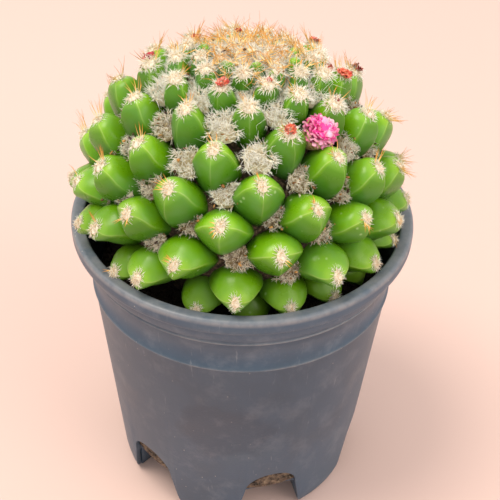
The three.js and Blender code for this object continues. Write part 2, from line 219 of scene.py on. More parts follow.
def arch_cutter(bm, turn):
    """The space of one arch: level after level of a straight-sided block with an oval top."""
    foot_corner = arch_half(0) + FOOT_CORNER
    levels = [(foot_corner, -2), *bow((foot_corner, -0.1), (arch_half(0), 0), (arch_half(3), 3), 5),
              (arch_half(FOOT_CUT_HEIGHT), FOOT_CUT_HEIGHT), (arch_half(12), 12)]
    for step in range(10):
        angle = step / 10 * math.pi / 2
        levels.append((ARCH_SHOULDER_HALF * math.cos(angle),
                       ARCH_SHOULDER + (ARCH_HEIGHT - ARCH_SHOULDER) * math.sin(angle)))
    rows = []
    for half, height in levels:
        start = FOOT_CUT_START if height <= FOOT_CUT_HEIGHT else ARCH_START
        corners = ((start, half), (ARCH_END, half), (ARCH_END, -half), (start, -half))
        rows.append([bm.verts.new((along, across, height)) for along, across in corners])
    bm.faces.new(rows[0])
    bm.faces.new(rows[-1])
    for lower, upper in zip(rows, rows[1:]):
        for side in range(4):
            after = (side + 1) % 4
            bm.faces.new((lower[side], lower[after], upper[after], upper[side]))
    bmesh.ops.rotate(bm, verts=[vert for row in rows for vert in row], cent=(0, 0, 0),
                     matrix=Matrix.Rotation(turn, 3, "Z"))


def cut_away(body, cutter):
    """One mesh less another, as new data."""
    pair = []
    for number, bm in enumerate((body, cutter)):
        mesh = bpy.data.meshes.new(f"cutting_{number}")
        bm.to_mesh(mesh)
        bm.free()
        pair.append(bpy.data.objects.new(mesh.name, mesh))
        bpy.context.scene.collection.objects.link(pair[-1])
    cut = pair[0].modifiers.new("arches", "BOOLEAN")
    cut.object = pair[1]
    cut.operation = "DIFFERENCE"
    cut.solver = "EXACT"
    result = bmesh.new()
    bpy.context.view_layer.update()
    result.from_object(pair[0], bpy.context.evaluated_depsgraph_get())
    for leftover in pair:
        bpy.data.meshes.remove(leftover.data)
    return result


def add_web(bm, turn, side):
    """A leaning plate under the floor, beside an arch, with its outer end sunk in the wall."""
    plate = bmesh.ops.create_cube(bm, size=2)["verts"]
    for vert in plate:
        high, outer, away = vert.co.z > 0, vert.co.x > 0, vert.co.y > 0
        height = WEB_TOP if high else 0.0
        near = arch_half(height) + WEB_STEP
        vert.co = (WEB_ENDS[high] if outer else WEB_START,
                   side * (near + WEB_THICKNESS * away), height)
    edges = list({edge for vert in plate for edge in vert.link_edges})
    bmesh.ops.rotate(bm, verts=plate, cent=(0, 0, 0), matrix=Matrix.Rotation(turn, 3, "Z"))
    bmesh.ops.bevel(bm, geom=edges, offset=WEB_ROUNDING, segments=1, profile=0.5, affect="EDGES",
                    material=-1)


def make_pot():
    body, arches = bmesh.new(), bmesh.new()
    turned(body, pot_outline(), TURNS)
    turns = [FIRST_ARCH + foot * math.tau / FOOT_COUNT for foot in range(FOOT_COUNT)]
    for turn in turns:
        arch_cutter(arches, turn)
    bmesh.ops.recalc_face_normals(arches, faces=arches.faces)
    pot = cut_away(body, arches)
    bmesh.ops.remove_doubles(pot, verts=pot.verts, dist=0.02)
    bmesh.ops.dissolve_degenerate(pot, dist=0.01, edges=pot.edges)
    # the arches' own edges, on the outside of the foot
    sharp = [edge for edge in pot.edges if len(edge.link_faces) == 2 and edge.calc_face_angle() > SHARP_ANGLE
             and max(vert.co.z for vert in edge.verts) < ARCH_HEIGHT + 1
             and min(vert.co.xy.length for vert in edge.verts) > SHARP_BEYOND]
    bmesh.ops.bevel(pot, geom=sharp, offset=EDGE_ROUNDING, segments=2, profile=0.5, affect="EDGES",
                    material=-1, clamp_overlap=True)
    for turn in turns:
        for side in (-1, 1):
            add_web(pot, turn, side)
    return pot


def moulded_polypropylene():
    """Matte moulded plastic: nearly even colour, a satin sheen, painted highlights along the rings and
    the rim's edges, smudges, short scuffs, specks of dust, and a damp patch low on the front, a little
    darker and bluer."""
    material, tree, shader = new_material("moulded_blue_grey_polypropylene")
    place = add(tree, "TexCoord").outputs["Object"]
    clouds = add(tree, "TexNoise", {"Vector": place, "Scale": 1 / (26 * MM), "Detail": 5, "Roughness": 0.6})
    tint = add(tree, "ValToRGB", (clouds,), [(0.3, "#394c5e"), (0.52, "#405468"), (0.72, "#485a6b")])
    # the damp patch, 45 mm across, and its wandering edge
    from_patch = add(tree, "Mapping", {"Vector": place, "Location": (0.0035, 0.0505, -0.067),
                                       "Scale": (1, 1, 1.25)})
    spread = add(tree, "VectorMath", (from_patch,), operation="LENGTH")
    wander = add(tree, "TexNoise", {"Vector": place, "Scale": 1 / (9 * MM), "Detail": 3})
    edge = add(tree, "Math", (wander, 16 * MM, spread), operation="MULTIPLY_ADD")
    darker = add(tree, "MapRange", (edge, 22.5 * MM, 27.5 * MM, 0.6, 0.0))
    damped = add(tree, "Mix", {"Factor": darker, "A": tint, "B": linear("#354557")}, data_type="RGBA")
    hands = add(tree, "TexNoise", {"Vector": place, "Scale": 1 / (11 * MM), "Detail": 7, "Roughness": 0.72})
    smudge = add(tree, "MapRange", (hands, 0.5, 0.74, 0.0, 0.4))
    smudged = add(tree, "Mix", {"Factor": smudge, "A": damped, "B": linear("#7a828d")}, data_type="RGBA")
    # short scuffs, drawn 0.5 mm wide so that they show
    slant = add(tree, "Mapping", {"Vector": place, "Rotation": (0.4, 1.25, 0.3), "Scale": (1, 1, 0.08)})
    streaks = add(tree, "TexNoise", {"Vector": slant, "Scale": 1 / (1.5 * MM), "Detail": 3,
                                     "Roughness": 0.7})
    scuff = add(tree, "MapRange", (streaks, 0.66, 0.8, 0.0, 0.45))
    scuffed = add(tree, "Mix", {"Factor": scuff, "A": smudged, "B": linear("#9aa0a8")}, data_type="RGBA")
    # painted highlight: the rings and the rim's edges are painted pale, in broken patches, for the light
    # that they catch
    height = add(tree, "SeparateXYZ", (place,)).outputs["Z"]
    share = add(tree, "MapRange", (height, 0.0, POT_HEIGHT * MM))
    low_ring, high_ring = (ring_height / POT_HEIGHT for ring_height in RING_HEIGHTS)
    half = RING_HALF_WIDTH / POT_HEIGHT
    highlight_bands = add(tree, "ValToRGB", (share,), [(at, (v, v, v, 1)) for at, v in (
        (low_ring - half, 0), (low_ring, 0.45), (low_ring + half, 0),
        (high_ring - half, 0), (high_ring, 0.75), (high_ring + half, 0),
        (1 - 4 * half, 0), (1 - 2 * half, 0.5), (1, 0.32))])
    patchy = add(tree, "TexNoise", {"Vector": place, "Scale": 1 / (7 * MM), "Detail": 4, "Roughness": 0.65})
    broken = add(tree, "MapRange", (patchy, 0.32, 0.58, 0.35, 1.0))
    edge_highlight = add(tree, "Math", (highlight_bands, broken), operation="MULTIPLY")
    highlit = add(tree, "Mix", {"Factor": edge_highlight, "A": scuffed, "B": linear("#a9a3a0")}, data_type="RGBA")
    # specks of pale dust, 0.3 to 0.5 mm
    speck = add(tree, "TexVoronoi", {"Vector": place, "Scale": 1 / (3.4 * MM)})
    round_speck = add(tree, "MapRange", (speck, 0.04, 0.085, 0.7, 0.0))
    drifts = add(tree, "TexNoise", {"Vector": place, "Scale": 1 / (8 * MM), "Detail": 2})
    some = add(tree, "MapRange", (drifts, 0.48, 0.6))
    dust = add(tree, "Math", (round_speck, some), operation="MULTIPLY")
    dusted = add(tree, "Mix", {"Factor": dust, "A": highlit, "B": linear("#bdb6ab")}, data_type="RGBA")
    satin = add(tree, "MapRange", (clouds, 0.3, 0.7, 0.36, 0.5))
    grain = add(tree, "TexNoise", {"Vector": place, "Scale": 1 / (0.8 * MM), "Detail": 3})
    relief = add(tree, "Bump", {"Height": grain, "Strength": 0.16, "Distance": 0.2 * MM})
    feed(tree, shader, {"Base Color": dusted, "Roughness": satin, "Normal": relief, "IOR": 1.49})
    return material


finished("nursery_pot", make_pot(), moulded_polypropylene(), "pot_plastic", "pot")

# ---- The soil ----------------------------------------------------------------------------------
# Peat and loam that fill the pot up to 24 mm below its rim, round the plant's neck. It is a loose
# crumb that was pressed in by hand. It is grey-brown where it shows at the arches, and by the plant
# it is painted nearly black, as painted shade inside the pot.
SOIL_TOP = 91.0
SOIL_SIDE = ((46.1, 27), (49.4, 75), (51.2, SOIL_TOP - 0.8), (49, SOIL_TOP - 0.2))
NECK_HOLE = 25.4
NECK_LOW = 82.0
CRUMB_COUNT = 2400
UNSHADED_HEIGHT = 32
SHADED_HEIGHT = 45


def make_soil():
    draw = random.Random(3)
    bm = bmesh.new()
    low = FLOOR_TOP + 0.5
    top = [(radius, SOIL_TOP - 0.1) for radius in (46, 42, 38, 34, 30, 27)]
    hole = [(NECK_HOLE, SOIL_TOP - 0.4), (NECK_HOLE, NECK_LOW), (0, NECK_LOW)]
    turned(bm, [(0, low), (45.0, low), *SOIL_SIDE, *top, *hole], 96)
    bmesh.ops.subdivide_edges(bm, edges=[edge for edge in bm.edges if edge.calc_length() > 6], cuts=3)
    for vert in bm.verts:
        if vert.co.xy.length > NECK_HOLE + 1 and vert.co.z > SOIL_TOP - 1:
            vert.co.z += 1.6 * noise.noise(vert.co * 0.22) - 0.7
    crumb = bmesh.new()
    bmesh.ops.create_icosphere(crumb, subdivisions=1, radius=1)
    for vert in crumb.verts:
        vert.co *= 1 + 0.35 * noise.noise(vert.co * 1.7 + Vector((3, 1, 4)))
    crumb_mesh = bpy.data.meshes.new("crumb")
    crumb.to_mesh(crumb_mesh)
    crumb.free()
    for number in range(CRUMB_COUNT):
        turn = draw.uniform(0, math.tau)
        # two in three lie on top, and the third lies behind an arch
        if number % 3:
            reach = math.sqrt(draw.uniform(29 ** 2, 50 ** 2))
            height = SOIL_TOP - 0.6 + draw.uniform(-0.4, 0.5)
        else:
            height = draw.uniform(FLOOR_TOP + 1, ARCH_HEIGHT + 1)
            reach = 45.2 + 0.065 * (height - FLOOR_TOP) - draw.uniform(0.2, 0.9)
        size = 0.4 + 1.1 * draw.random() ** 2
        place = (Matrix.Rotation(turn, 4, "Z") @ Matrix.Translation((reach, 0, height))
                 @ Matrix.Rotation(draw.uniform(0, 6), 4, "X") @ Matrix.Rotation(draw.uniform(0, 6), 4, "Y")
                 @ Matrix.Diagonal((size, size * draw.uniform(0.6, 1), size * draw.uniform(0.5, 0.9), 1)))
        copy = crumb_mesh.copy()
        copy.transform(place)
        bm.from_mesh(copy)
        bpy.data.meshes.remove(copy)
    return bm


def peat_and_loam():
    """Crumbs: grey-brown low down, where the arches show them, and painted nearly black higher up, as
    painted shade inside the pot; never glossy."""
    material, tree, shader = new_material("peat_and_loam")
    place = add(tree, "TexCoord").outputs["Object"]
    crumbs = add(tree, "TexNoise", {"Vector": place, "Scale": 1 / (1.1 * MM), "Detail": 6,
                                    "Roughness": 0.75})
    darker = add(tree, "ValToRGB", (crumbs,), [(0.3, "#120d0a"), (0.5, "#2c221b"), (0.64, "#4a3a2d"),
                                             (0.8, "#7d6a55")])
    clods = add(tree, "TexNoise", {"Vector": place, "Scale": 1 / (2.6 * MM), "Detail": 7, "Roughness": 0.7})
    lower_tone = add(tree, "ValToRGB", (clods,), [(0.38, "#1b1613"), (0.47, "#57493e"), (0.62, "#84735f"),
                                           (0.8, "#a8977f")])
    height = add(tree, "SeparateXYZ", (place,)).outputs["Z"]
    # painted shade: grey-brown crumbs up to 32 mm, nearly black from 45 mm up, in the shade inside the pot
    unshaded_share = add(tree, "MapRange", (height, UNSHADED_HEIGHT * MM, SHADED_HEIGHT * MM, 1.0, 0.0))
    tint = add(tree, "Mix", {"Factor": unshaded_share, "A": darker, "B": lower_tone}, data_type="RGBA")
    relief = add(tree, "Bump", {"Height": crumbs, "Strength": 0.9, "Distance": 0.6 * MM})
    feed(tree, shader, {"Base Color": tint, "Normal": relief, "Roughness": 0.92})
    return material


finished("potting_soil", make_soil(), peat_and_loam(), "soil", "soil")

# ---- The plant's body --------------------------------------------------------------------------
# A globe-shaped stem, all in one with its tubercles: blunt green teats that stand in two sets of
# spirals, each a golden turn round from the one before. The skin is smooth and waxy. The lowest
# rows hang at the front and back and ride up at the sides, and the neck goes down into the soil.
BODY_CENTRE = Vector((-1.3, 0, 120))
BODY_RADIUS = 57.2
BODY_RISE = 59.0
BODY_LEAN = Matrix.Rotation(0.053, 3, "Y") @ Matrix.Rotation(-0.0874, 3, "X")
TUCK = 8.0
CROWN_DIP = 3.6
DIVERGENCE = math.radians(137.456)
FIRST_TURN = math.radians(217.05)
YOUNG_COUNT = 54.9
YOUNG_SPAN = 0.0701
MATURE_RATE = 40.0
LOWER_RATE = 21.7
SWING = math.radians(6.5)
SWING_START = math.radians(76)
SWING_FULL = math.radians(92)
FRONT_TURN = math.radians(-85)
UPWARD_LEAN = 0.22
AXIL_ANGLE = math.radians(11.5)
FIRST_TUBERCLE = 22
LAST_TUBERCLE = 138
TUBERCLE_LENGTH = 15.0
HALF_WIDTH = 10.1
HALF_HEIGHT = 8.6
FOUR_CORNERED = 1.16
OVAL = 1.65
KEEL_CROWDING = 0.8
KEEL_THINNESS = 500
MATURE_SPACING = 17.5
HIGH_APEX = 1.8
LOW_APEX = -2.0


def smooth_step(value, low, high):
    share = min(1.0, max(0.0, (value - low) / (high - low)))
    return share * share * (3 - 2 * share)


def count_above(drop):
    """Number of tubercles above a latitude, whose drop is 1 less the cosine of its polar angle."""
    return YOUNG_COUNT * (1 - math.exp(-drop / YOUNG_SPAN)) + MATURE_RATE * drop + LOWER_RATE * drop * drop


def drop_of(count):
    low, high = 0.0, 2.0
    for _ in range(40):
        middle = (low + high) / 2
        low, high = (middle, high) if count_above(middle) < count else (low, middle)
    return low


def direction_at(turn, polar):
    girth = math.sin(polar)
    return BODY_LEAN @ Vector((girth * math.cos(turn), girth * math.sin(turn), math.cos(polar)))


def girth_radius(rise):
    """The globe narrows where it goes down into the pot."""
    return BODY_RADIUS - TUCK * smooth_step(-rise, -0.15, 0.35)


def globe_point(direction, depth):
    """The point at a depth under the globe of the tips, whose crown is lower at the back."""
    depth += CROWN_DIP * smooth_step(direction.y, -0.05, 0.35) * smooth_step(direction.z, 0.7, 0.9)
    reach = girth_radius(direction.z) - depth
    rise = BODY_RISE - depth
    return BODY_CENTRE + Vector((reach * direction.x, reach * direction.y, rise * direction.z))


def frame_at(point, outward):
    """A frame at a point: z points out of the plant, y towards the crown, x along the girth."""
    side = Vector((0, 0, 1)).cross(outward).normalized()
    up = outward.cross(side)
    turned_frame = Matrix((side, up, outward)).transposed().to_4x4()
    return Matrix.Translation(point) @ turned_frame


def growth(count):
    """Size of a tubercle against a full-grown one, from the room that its neighbours leave it."""
    drop = drop_of(count)
    crowding = YOUNG_COUNT / YOUNG_SPAN * math.exp(-drop / YOUNG_SPAN) + MATURE_RATE + 2 * LOWER_RATE * drop
    return min(1.0, girth_radius(1 - drop) * math.sqrt(math.tau / crowding) / MATURE_SPACING)


def turn_and_polar(count):
    turn = FIRST_TURN + count * DIVERGENCE
    even = math.acos(1 - drop_of(count))
    low = smooth_step(even, SWING_START, SWING_FULL)
    return turn, even + SWING * low * math.cos(2 * (turn - FRONT_TURN))


def tubercle_frame(count):
    direction = direction_at(*turn_and_polar(count))
    outward = (direction + Vector((0, 0, UPWARD_LEAN))).normalized()
    return frame_at(globe_point(direction, 0), outward)


def axil_frame(count, depth):
    """The hollow between tubercles, above one of them, where wool, buds and flowers grow."""
    turn, polar = turn_and_polar(count)
    direction = direction_at(turn, polar - AXIL_ANGLE * growth(count))
    return frame_at(globe_point(direction, depth), direction)


def apex_rise(count):
    """How far up the end face the spine pad sits: high on the upper rows, low on the lowest."""
    return HIGH_APEX + (LOW_APEX - HIGH_APEX) * smooth_step(count, 94, 108)


def set_values(mesh, name, values):
    """Keeps one number for each point of a mesh, which its material reads."""
    mesh.attributes.new(name, "FLOAT", "POINT").data.foreach_set("value", values)


def put(bm, part, matrix, **values):
    """Adds a copy of a small mesh in its place, with the values that this copy alone has."""
    copy = part.copy()
    copy.transform(matrix)
    for name, value in values.items():
        set_values(copy, name, [value] * len(copy.vertices))
    bm.from_mesh(copy)
    bpy.data.meshes.remove(copy)


# share of the half width at each share of the way down from the tip
TUBERCLE_PROFILE = ((0, 0), (0.17, 0.003), (0.3, 0.02), (0.42, 0.055), (0.53, 0.105), (0.64, 0.18),
                    (0.74, 0.28), (0.83, 0.41), (0.9, 0.57), (0.95, 0.77), (0.95, 1))


def tubercle_mesh(apex):
    """A full-grown tubercle with its tip at the origin: rounded above, with a keel down each side
    and a third below, and a blunt end that leans with the place of its spine pad."""
    bm = bmesh.new()
    turned(bm, [(share, -down) for share, down in TUBERCLE_PROFILE], 32)
    keel, shaded_share, depth = [], [], []
    for vert in bm.verts:
        share, down = vert.co.xy.length, -vert.co.z
        even = math.atan2(vert.co.y, vert.co.x)
        angle = even - KEEL_CROWDING * math.sin(4 * even) / 4
        above, below = max(0.0, math.sin(angle)), max(0.0, -math.sin(angle))
        # the section's power: the lower it is, the more the section is a four-cornered one
        power = FOUR_CORNERED + 0.3 * smooth_step(down, 0.1, 0.8)
        power += (OVAL - power) * smooth_step(above, 0, 0.25)
        across = abs(math.cos(angle)) / HALF_WIDTH
        along = abs(math.sin(angle)) / (HALF_HEIGHT - 0.6 * above)
        reach = share * (across ** power + along ** power) ** (-1 / power)
        # a slight chin below the tip
        reach *= 1 + 0.08 * below * math.exp(-((down - 0.12) / 0.16) ** 2)
        seat = 1 - smooth_step(down, 0, 0.42)
        vert.co.x = reach * math.cos(angle)
        vert.co.y = reach * math.sin(angle) + apex * seat
        vert.co.z = 0.4 - TUBERCLE_LENGTH * down - 0.17 * (vert.co.y - apex) * seat
        # painted highlight along the keels' lines, painted shade on the share of a face that looks down
        lines = abs(math.cos(2 * angle)) ** KEEL_THINNESS if above < 0.6 else 0.0
        keel.append(lines * (0.6 if below > 0.6 else 1.0))
        shaded_share.append(smooth_step(below, 0.0, 0.22))
        depth.append(down)
    mesh = bpy.data.meshes.new("tubercle")
    bm.to_mesh(mesh)
    bm.free()
    set_values(mesh, "keel", keel)
    set_values(mesh, "shaded_share", shaded_share)
    set_values(mesh, "down", depth)
    return mesh


def slimness(count):
    """The tubercles half way up the globe are slimmer than those above and below them."""
    return 0.81 + 0.19 * (1 - smooth_step(count, 48, 58)) + 0.2 * smooth_step(count, 68, 100)


def scaled_in_place(count, draw):
    """A tubercle's own size and slight lean, within what its neighbours leave it."""
    size = growth(count)
    length = size ** 0.7
    lean = (Matrix.Rotation(draw.uniform(-0.05, 0.05), 4, "X")
            @ Matrix.Rotation(draw.uniform(-0.05, 0.05), 4, "Y"))
    width = size * slimness(count) * draw.uniform(0.97, 1.04)
    height = size * draw.uniform(0.96, 1.04)
    return tubercle_frame(count) @ lean @ Matrix.Diagonal((width, height, length, 1))


def make_tubercles():
    draw = random.Random(11)
    kinds = [(apex, tubercle_mesh(apex)) for apex in (LOW_APEX, -0.7, 0.6, HIGH_APEX)]
    bm = bmesh.new()
    for count in range(FIRST_TUBERCLE, LAST_TUBERCLE + 1):
        wanted = apex_rise(count)
        tubercle = min(kinds, key=lambda kind: abs(kind[0] - wanted))[1]
        put(bm, tubercle, scaled_in_place(count, draw), own=draw.random(), old=smooth_step(count, 105, 138))
    for vert in bm.verts:
        vert.co += 0.22 * noise.noise_vector(vert.co * 0.12)
    return bm


def waxy_skin():
    """Living skin under a thin wax bloom, with painted light and shade: bright yellow-green above and
    deeper green on the faces that look down, both darker towards the base, and a thin pale painted
    highlight along the keels; a few pale pores and a soft gloss."""
    material, tree, shader = new_material("waxy_green_skin")
    place = add(tree, "TexCoord").outputs["Object"]
    down, shaded_share, keel, old, own = (add(tree, "Attribute", attribute_name=name).outputs["Fac"]
                                   for name in ("down", "shaded_share", "keel", "old", "own"))
    # painted light and shade: lit and shaded greens by how far a face looks down, darker towards the base
    sunny = add(tree, "ValToRGB", (down,), [(0.0, "#90bb38"), (0.12, "#6da016"), (0.4, "#5b9006"),
                                            (1.0, "#325e08")])
    shaded = add(tree, "ValToRGB", (down,), [(0.0, "#7fae3a"), (0.12, "#588c1e"), (0.45, "#437616"),
                                             (1.0, "#23480c")])
    faces = add(tree, "Mix", {"Factor": shaded_share, "A": sunny, "B": shaded}, data_type="RGBA")
    clouds = add(tree, "TexNoise", {"Vector": place, "Scale": 1 / (8 * MM), "Detail": 4, "Roughness": 0.55})
    wax = add(tree, "MapRange", (clouds, 0.45, 0.72, 0.0, 0.34))
    bloomed = add(tree, "Mix", {"Factor": wax, "A": faces, "B": linear("#5c9354")}, data_type="RGBA")
    # painted highlight: a thin pale line along the keels, fading towards the base
    fade = add(tree, "MapRange", (down, 0.05, 0.5, 0.4, 0.05))
    keel_highlight = add(tree, "Math", (keel, fade), operation="MULTIPLY")
    keeled = add(tree, "Mix", {"Factor": keel_highlight, "A": bloomed, "B": linear("#bccf85")}, data_type="RGBA")
    # pale pores, about 0.6 mm across and 6 mm apart
    pore = add(tree, "TexVoronoi", {"Vector": place, "Scale": 1 / (6 * MM)})
    dot = add(tree, "MapRange", (pore, 0.05, 0.11, 0.45, 0.0))
    pored = add(tree, "Mix", {"Factor": dot, "A": keeled, "B": linear("#b9d99a")}, data_type="RGBA")
    dulled = add(tree, "Math", (old, 0.5), operation="MULTIPLY")
    aged = add(tree, "Mix", {"Factor": dulled, "A": pored, "B": linear("#5f7f1d")}, data_type="RGBA")
    strength = add(tree, "MapRange", (own, 0.0, 1.0, 0.9, 1.1))
    varied = add(tree, "HueSaturation", {"Color": aged, "Value": strength})
    gloss = add(tree, "MapRange", (clouds, 0.3, 0.7, 0.24, 0.36))
    waves = add(tree, "TexNoise", {"Vector": place, "Scale": 1 / (1.4 * MM), "Detail": 3})
    relief = add(tree, "Bump", {"Height": waves, "Strength": 0.12, "Distance": 0.25 * MM})
    feed(tree, shader, {"Base Color": varied, "Roughness": gloss, "Normal": relief, "IOR": 1.4,
                        "Specular IOR Level": 0.4, "Subsurface Weight": 0.12,
                        "Subsurface Radius": (0.6, 1.0, 0.25), "Subsurface Scale": 2 * MM})
    return material


finished("tubercles", make_tubercles(), waxy_skin(), "cactus_skin", "cactus")

# ---- The stem between the tubercles ------------------------------------------------------------
# The same stem, seen in the hollows: felted over with old wool and dust, brown, and painted nearly
# black there as painted shade. Its neck goes down through the hole in the soil.
STEM_DEPTH = 11.5
CROWN_DEPTH = 7
STEM_END = math.radians(118)
STEM_STEPS = 18
NECK_RADIUS = 25.0


def make_stem():
    bm = bmesh.new()
    outline = [(0, NECK_LOW), (NECK_RADIUS, NECK_LOW), (NECK_RADIUS, SOIL_TOP + 2)]
    for step in range(STEM_STEPS + 1):
        polar = STEM_END * (1 - step / STEM_STEPS)
        depth = CROWN_DEPTH + (STEM_DEPTH - CROWN_DEPTH) * smooth_step(math.sin(polar), 0, 0.75)
        reach = (girth_radius(math.cos(polar)) - depth) * math.sin(polar)
        outline.append((reach, BODY_CENTRE.z + (BODY_RISE - depth) * math.cos(polar)))
    turned(bm, outline, 64)
    for vert in bm.verts:
        if vert.co.z > SOIL_TOP + 1:
            vert.co.x += BODY_CENTRE.x * smooth_step(vert.co.z, SOIL_TOP, 110)
            vert.co += 0.9 * noise.noise_vector(vert.co * 0.25)
    return bm


def felted_skin():
    """Old wool and dust matted into bark: dull, mottled grey-brown, with its hollows painted nearly
    black as painted shade.
    """
    material, tree, shader = new_material("felted_brown_skin")
    place = add(tree, "TexCoord").outputs["Object"]
    matted = add(tree, "TexNoise", {"Vector": place, "Scale": 1 / (1.3 * MM), "Detail": 5, "Roughness": 0.7})
    tint = add(tree, "ValToRGB", (matted,), [(0.32, "#15110c"), (0.5, "#3a2c1e"), (0.66, "#7a6450"),
                                             (0.8, "#b5a48c")])
    relief = add(tree, "Bump", {"Height": matted, "Strength": 1.0, "Distance": 0.6 * MM})
    feed(tree, shader, {"Base Color": tint, "Normal": relief, "Roughness": 0.95})
    return material


finished("felted_stem", make_stem(), felted_skin(), "cactus_skin")

# ---- Wool on the spine pads --------------------------------------------------------------------
# Each tubercle ends in a pad of dense cream wool, 5 to 6 mm wide and up to 7 mm high, stained orange
# in its middle. Near the crown the pads are younger, rounder and whiter. Real fibres are 0.05 mm
# thick, and these are drawn four to six times as thick, in fewer numbers, so that they show.
FIBRE_RADIUS = 0.1
PAD_FIBRES = 160
PAD_HALF_WIDTH = 2.5
PAD_HALF_HEIGHT = 3.5
PAD_SWELL = 2.0
PAD_TILT = -0.17
FIRST_PAD = 3
MIDDLE_PAD = 74
LAST_PAD = 132


def strand_mesh(cuts):
    """A strand 1 long and 1 in radius at its root, three-sided, thinning to its point."""
    bm = bmesh.new()
    bmesh.ops.create_cone(bm, cap_ends=False, segments=3, radius1=1, radius2=0.15, depth=1,
                          matrix=Matrix.Translation((0, 0, 0.5)))
    upright = [e for e in bm.edges if abs(e.verts[0].co.z - e.verts[1].co.z) > 0.5]
    bmesh.ops.subdivide_edges(bm, edges=upright, cuts=cuts)
    mesh = bpy.data.meshes.new("strand")
    bm.to_mesh(mesh)
    bm.free()
    set_values(mesh, "lift", [vert.co.z for vert in mesh.vertices])
    return mesh


SHORT_STRAND = strand_mesh(1)
CURLY_STRAND = strand_mesh(2)


def grow(bm, kind, root, toward, length, radius, bend, curl, draw, **values):
    """Grows one strand from a root. It bends to one side and curls a little as it goes."""
    strand = kind.copy()
    for vert in strand.vertices:
        t = vert.co.z
        vert.co.x = vert.co.x * radius + bend * length * t * t
        vert.co.y = vert.co.y * radius + curl * length * math.sin(math.tau * t) * 0.16
        vert.co.z = length * t * (1 - 0.35 * abs(bend) * t)
    aim = toward.to_track_quat("Z", "Y").to_matrix().to_4x4()
    roll = Matrix.Rotation(draw.uniform(0, math.tau), 4, "Z")
    put(bm, strand, Matrix.Translation(root) @ aim @ roll, **values)
    bpy.data.meshes.remove(strand)


def scatter(draw, most):
    """A random step of up to a length along each axis."""
    return most * Vector((draw.uniform(-1, 1), draw.uniform(-1, 1), draw.uniform(-1, 1)))


def felt_mesh(size, lumps, lift):
    """A lumpy cushion of felted wool, which the loose fibres stand in."""
    bm = bmesh.new()
    bmesh.ops.create_uvsphere(bm, u_segments=14, v_segments=8, radius=1, matrix=Matrix.Diagonal((*size, 1)))
    mesh = bpy.data.meshes.new("felt")
    for vert in bm.verts:
        vert.co += lumps * noise.noise_vector(vert.co * 0.6)
    bm.to_mesh(mesh)
    bm.free()
    set_values(mesh, "lift", [lift + 0.2 * noise.noise(vert.co * 1.3) for vert in mesh.vertices])
    return mesh


def pad_mesh(draw, round_share):
    """A pad of wool, its middle at the origin and its face to +z. A round pad is a young one."""
    half_width = PAD_HALF_WIDTH + 0.5 * round_share
    half_height = PAD_HALF_HEIGHT - 0.4 * round_share
    swell = PAD_SWELL + 0.2 * round_share
    bm = bmesh.new()
    put(bm, felt_mesh((half_width * 0.58, half_height * 0.62, swell * 0.55), 0.3, 0.4),
        Matrix.Identity(4), shade=0.5, stain=0.2)
    for _ in range(PAD_FIBRES):
        turn, out = draw.uniform(0, math.tau), math.sqrt(draw.random())
        across, along = half_width * out * math.cos(turn), half_height * out * math.sin(turn)
        rise = swell * 0.6 * math.sqrt(max(0, 1 - out * out)) - 0.6 * out * out
        root = Vector((across * 0.75, along * 0.8, rise))
        toward = Vector((across / half_width * 1.1, along / half_height, 0.8 - 1.1 * out))
        length = draw.uniform(0.9, 2.1) * (0.95 + 0.2 * round_share)
        grow(bm, SHORT_STRAND, root, toward + scatter(draw, 0.55), length,
             FIBRE_RADIUS * draw.uniform(0.9, 1.5), draw.uniform(-0.6, 0.6), draw.uniform(-1.5, 1.5), draw,
             shade=draw.random(),
             stain=min(1.0, max(0.0, draw.uniform(-0.9, 1.2) * (1 - out) * (1 - 0.45 * round_share))))
    made = bpy.data.meshes.new("pad")
    bm.to_mesh(made)
    bm.free()
    return made


def pad_frame(count):
    """Where a pad sits: on the blunt end, turned up a little from the tubercle's own line."""
    rise = apex_rise(count)
    return (tubercle_frame(count) @ Matrix.Translation((0, rise * growth(count), 0.15))
            @ Matrix.Rotation(PAD_TILT, 4, "X"))


def make_pads(first, last):
    draw = random.Random(23 + first)
    young = [pad_mesh(draw, 1) for _ in range(3)]
    grown = [pad_mesh(draw, 0) for _ in range(4)]
    bm = bmesh.new()
    for count in range(first, last + 1):
        age = smooth_step(count, 62, 74)
        kind = draw.choice(young) if draw.random() > age else draw.choice(grown)
        size = draw.uniform(0.92, 1.08) * (0.92 + 0.24 * (smooth_step(count, 20, 45) - age))
        sunk = -2.4 * (1 - smooth_step(count, 20, 42))
        turn = Matrix.Rotation(draw.uniform(-0.25, 0.25), 4, "Z")
        put(bm, kind, pad_frame(count) @ Matrix.Translation((0, 0, sunk)) @ turn @ Matrix.Scale(size, 4),
            age=0.15 * smooth_step(count, 95, 130))
    return bm


